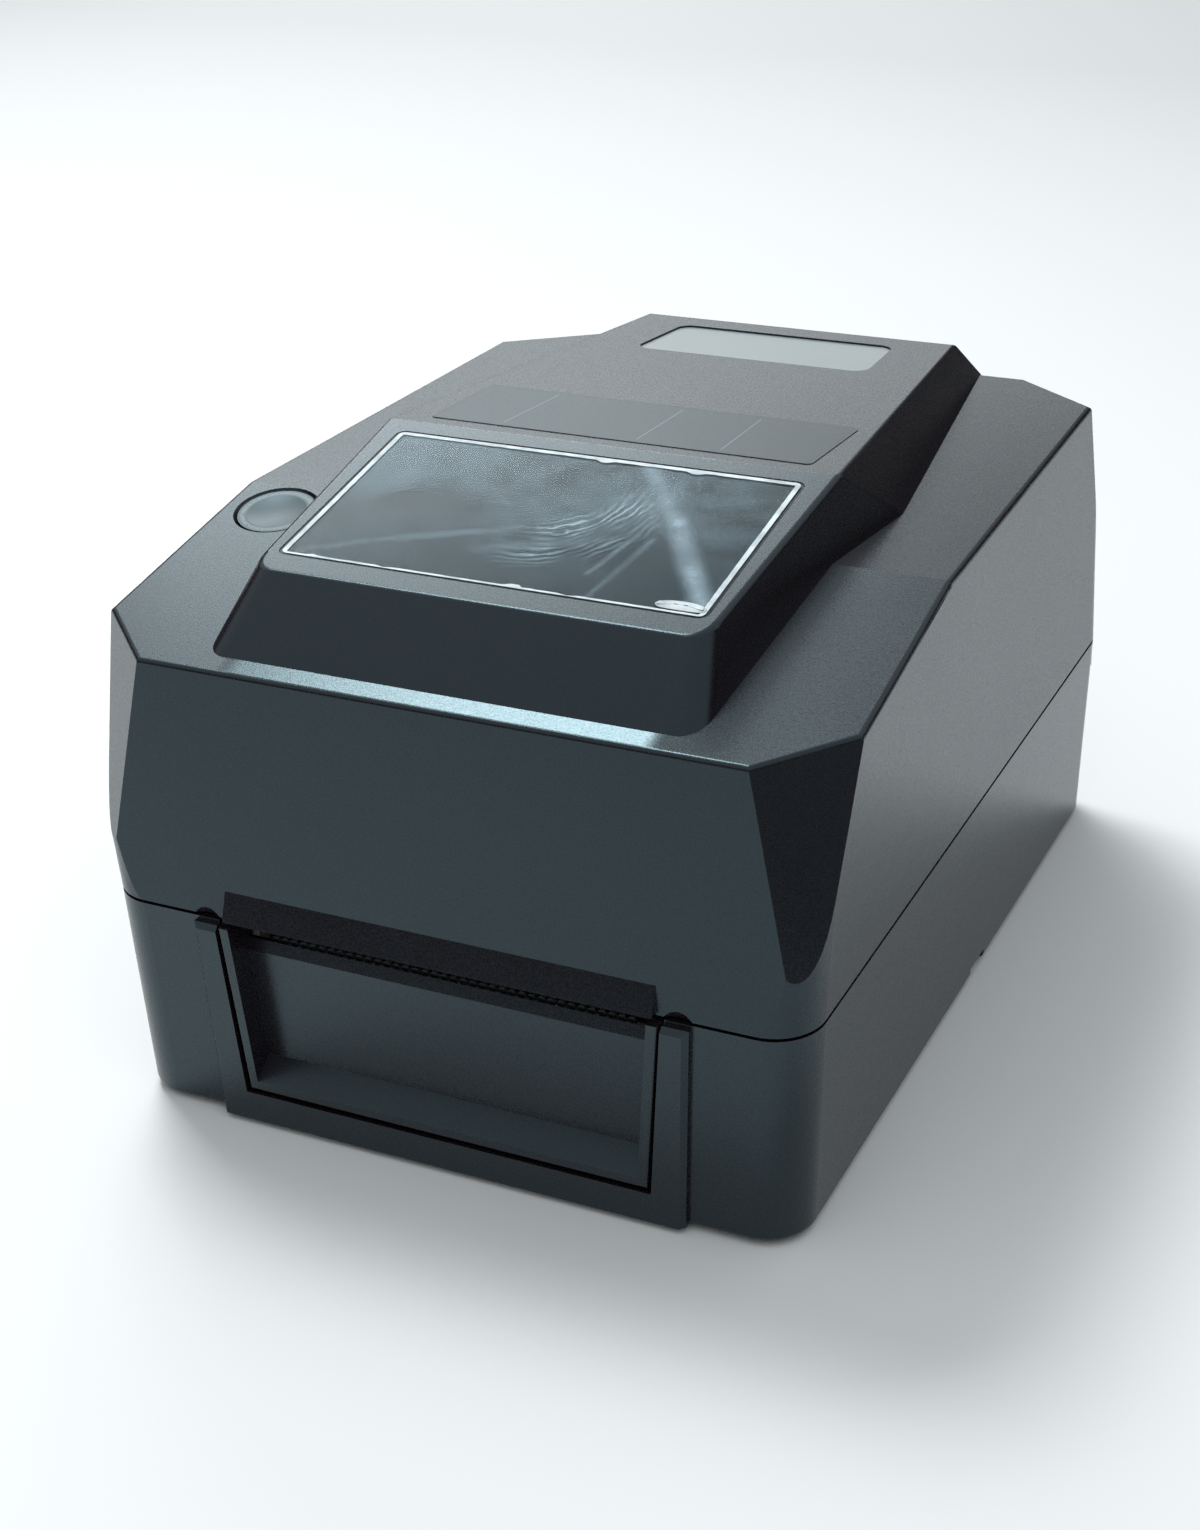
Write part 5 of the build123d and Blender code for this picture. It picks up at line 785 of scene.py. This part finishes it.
filmSheet()
filmBorder()
filmCorner()
print("film edge laid on the window")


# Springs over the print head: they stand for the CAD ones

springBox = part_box("head_springs")
springSet = {
    "radius": 0.00355,  # of the coil, at the middle of its wire
    "wire": 0.00045,
    "turns": 5,
    "steps": 20,
    "sides": 8,
    "keep": 0.54,
}


# a ring of wire in the XZ plane, wound up round the Z axis
def windSpring():
    look = springSet
    climb = (springBox[1][2] - springBox[0][2] - 2 * look["wire"]) / look["turns"]
    bpy.ops.object.select_all(action="DESELECT")
    bpy.ops.mesh.primitive_circle_add(
        vertices=look["sides"],
        radius=look["wire"],
        location=(look["radius"], 0.0, 0.0),
        rotation=(math.pi / 2, 0.0, 0.0),
    )
    spring = bpy.context.object
    bpy.ops.object.transform_apply(location=True, rotation=True, scale=True)
    winding = spring.modifiers.new("winding", "SCREW")
    winding.angle = math.tau
    winding.screw_offset = climb
    winding.iterations = look["turns"]
    winding.steps = winding.render_steps = look["steps"]
    winding.use_merge_vertices = False
    applyAll(spring)
    bpy.ops.object.mode_set(mode="EDIT")
    bpy.ops.mesh.select_all(action="SELECT")
    bpy.ops.mesh.remove_doubles(threshold=0.000001)
    bpy.ops.mesh.select_all(action="DESELECT")
    bpy.ops.mesh.select_non_manifold()
    bpy.ops.mesh.fill_holes(sides=look["sides"])
    bpy.ops.mesh.select_all(action="SELECT")
    bpy.ops.mesh.normals_make_consistent(inside=False)
    bpy.ops.object.mode_set(mode="OBJECT")
    bpy.ops.object.shade_smooth()
    return spring


def headSprings():
    radius = springSet["radius"] + springSet["wire"]
    middle = (springBox[0][1] + springBox[1][1]) / 2
    for name, across in (("head_spring_left", springBox[0][0] + radius), ("head_spring_right", springBox[1][0] - radius)):
        spring = windSpring()
        spring.name = name
        spring.location = (across, middle, springBox[0][2] + springSet["wire"])
        bpy.ops.object.transform_apply(location=True)
        spring.data.materials.append(finish["steel"])
        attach(spring, "base")
        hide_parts("head_springs")
        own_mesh(spring)


headSprings()
print("head springs wound")


# Studio: pale floor with painted shade darkening it towards the back, a high key lamp on the left, a wide soft panel
# behind and a dark curtain low round the set

studioSet = {
    "floorSize": 10.0,
    "floorFront": colour(0.865, 0.87, 0.87),
    # painted shade: the rear floor colour and its fade darken the floor towards the back, standing in for the light
    # falling off there
    "floorRearPaintedShade": colour(0.53, 0.54, 0.54),
    "floorPaintedShadeFade": (-0.1, 1.3),  # from which distance behind to which it grows darker
    "worldTone": colour(0.60, 0.635, 0.65),
    "aim": (0.0, 0.0, 0.08),
    "curtainRadius": 3.2,
    "curtainHeight": 1.4,
    "lampColour": (0.95, 0.985, 1.0),
}

lamps = {
    "key_lamp": dict(place=(-0.86, 0.60, 2.05), size=(0.6, 0.6), power=20.0, shine=True),
    "panel_lamp": dict(place=(-1.16, 1.66, 1.32), size=(1.0, 0.6), power=10.5, shine=True),
    "back_lamp": dict(place=(-1.00, 2.05, 0.60), size=(1.4, 0.5), power=3.6, shine=True),
    "fill_lamp": dict(place=(0.90, -1.60, 2.20), size=(3.0, 3.0), power=12.0, shine=False),
    "floor_lamp": dict(place=(-0.95, 0.85, 2.15), size=(0.9, 0.9), power=17.0, shine=False),
}


def addLamp(name, look):
    bpy.ops.object.light_add(type="AREA", location=look["place"])
    lamp = bpy.context.object
    lamp.name = name
    lamp.data.shape = "RECTANGLE"
    lamp.data.size, lamp.data.size_y = look["size"]
    lamp.data.energy = look["power"]
    lamp.data.color = studioSet["lampColour"]
    lamp.visible_glossy = look["shine"]
    lamp.rotation_euler = (Vector(studioSet["aim"]) - Vector(look["place"])).to_track_quat("-Z", "Y").to_euler()


def addFloor():
    bpy.ops.mesh.primitive_plane_add(size=studioSet["floorSize"])
    floor = bpy.context.object
    floor.name = "studio_floor"
    material, tree, shader = newTree("studio_floor")
    split = addNode(tree, "ShaderNodeSeparateXYZ")
    tree.links.new(objectPlace(tree), split.inputs["Vector"])
    # painted shade: the floor's colour darkens towards the back, standing in for the light falling off there
    paintedFalloff = spread(tree, split.outputs["Y"], *studioSet["floorPaintedShadeFade"])
    cloud = mathNode(tree, "MULTIPLY", noise(tree, objectPlace(tree), 3.0), 0.04)
    shade = mathNode(tree, "ADD", paintedFalloff, cloud, clamp=True)
    tree.links.new(mixColour(tree, shade, studioSet["floorFront"], studioSet["floorRearPaintedShade"]), shader.inputs["Base Color"])
    shader.inputs["Roughness"].default_value = 0.75
    shader.inputs["Specular IOR Level"].default_value = 0.1
    floor.data.materials.append(material)


# keeps the low horizon dark in reflections; the camera doesn't see it
def addCurtain():
    bpy.ops.mesh.primitive_cylinder_add(
        vertices=48,
        radius=studioSet["curtainRadius"],
        depth=studioSet["curtainHeight"],
        end_fill_type="NOTHING",
        location=(0, 0, studioSet["curtainHeight"] / 2),
    )
    curtain = bpy.context.object
    curtain.name = "studio_curtain"
    curtain.visible_camera = False
    material, tree, shader = newTree("studio_curtain")
    folds = noise(tree, objectPlace(tree), 6.0)
    tree.links.new(mixColour(tree, folds, colour(0.02, 0.02, 0.022), colour(0.03, 0.032, 0.034)), shader.inputs["Base Color"])
    shader.inputs["Roughness"].default_value = 0.9
    curtain.data.materials.append(material)


# dark card on the floor at the right, seen in the gloss alone, so that the right facet stays dark
def addCard():
    bpy.ops.mesh.primitive_plane_add(size=1.0, location=(0.72, -0.62, 0.004))
    card = bpy.context.object
    card.name = "studio_card"
    card.scale = (0.80, 1.0, 1.0)
    card.visible_camera = False
    card.visible_shadow = False
    card.visible_diffuse = False
    material, tree, shader = newTree("studio_card")
    weave = noise(tree, objectPlace(tree), 40.0)
    tree.links.new(mixColour(tree, weave, colour(0.02, 0.02, 0.022), colour(0.03, 0.032, 0.034)), shader.inputs["Base Color"])
    shader.inputs["Roughness"].default_value = 0.9
    card.data.materials.append(material)


def paintWorld():
    world = bpy.data.worlds.new("studio_world")
    bpy.context.scene.world = world
    world.use_nodes = True
    background = world.node_tree.nodes["Background"]
    background.inputs["Color"].default_value = studioSet["worldTone"]


addFloor()
addCurtain()
addCard()
paintWorld()
for name, look in lamps.items():
    addLamp(name, look)
bpy.context.scene.view_settings.view_transform = "Standard"
print("studio ready")
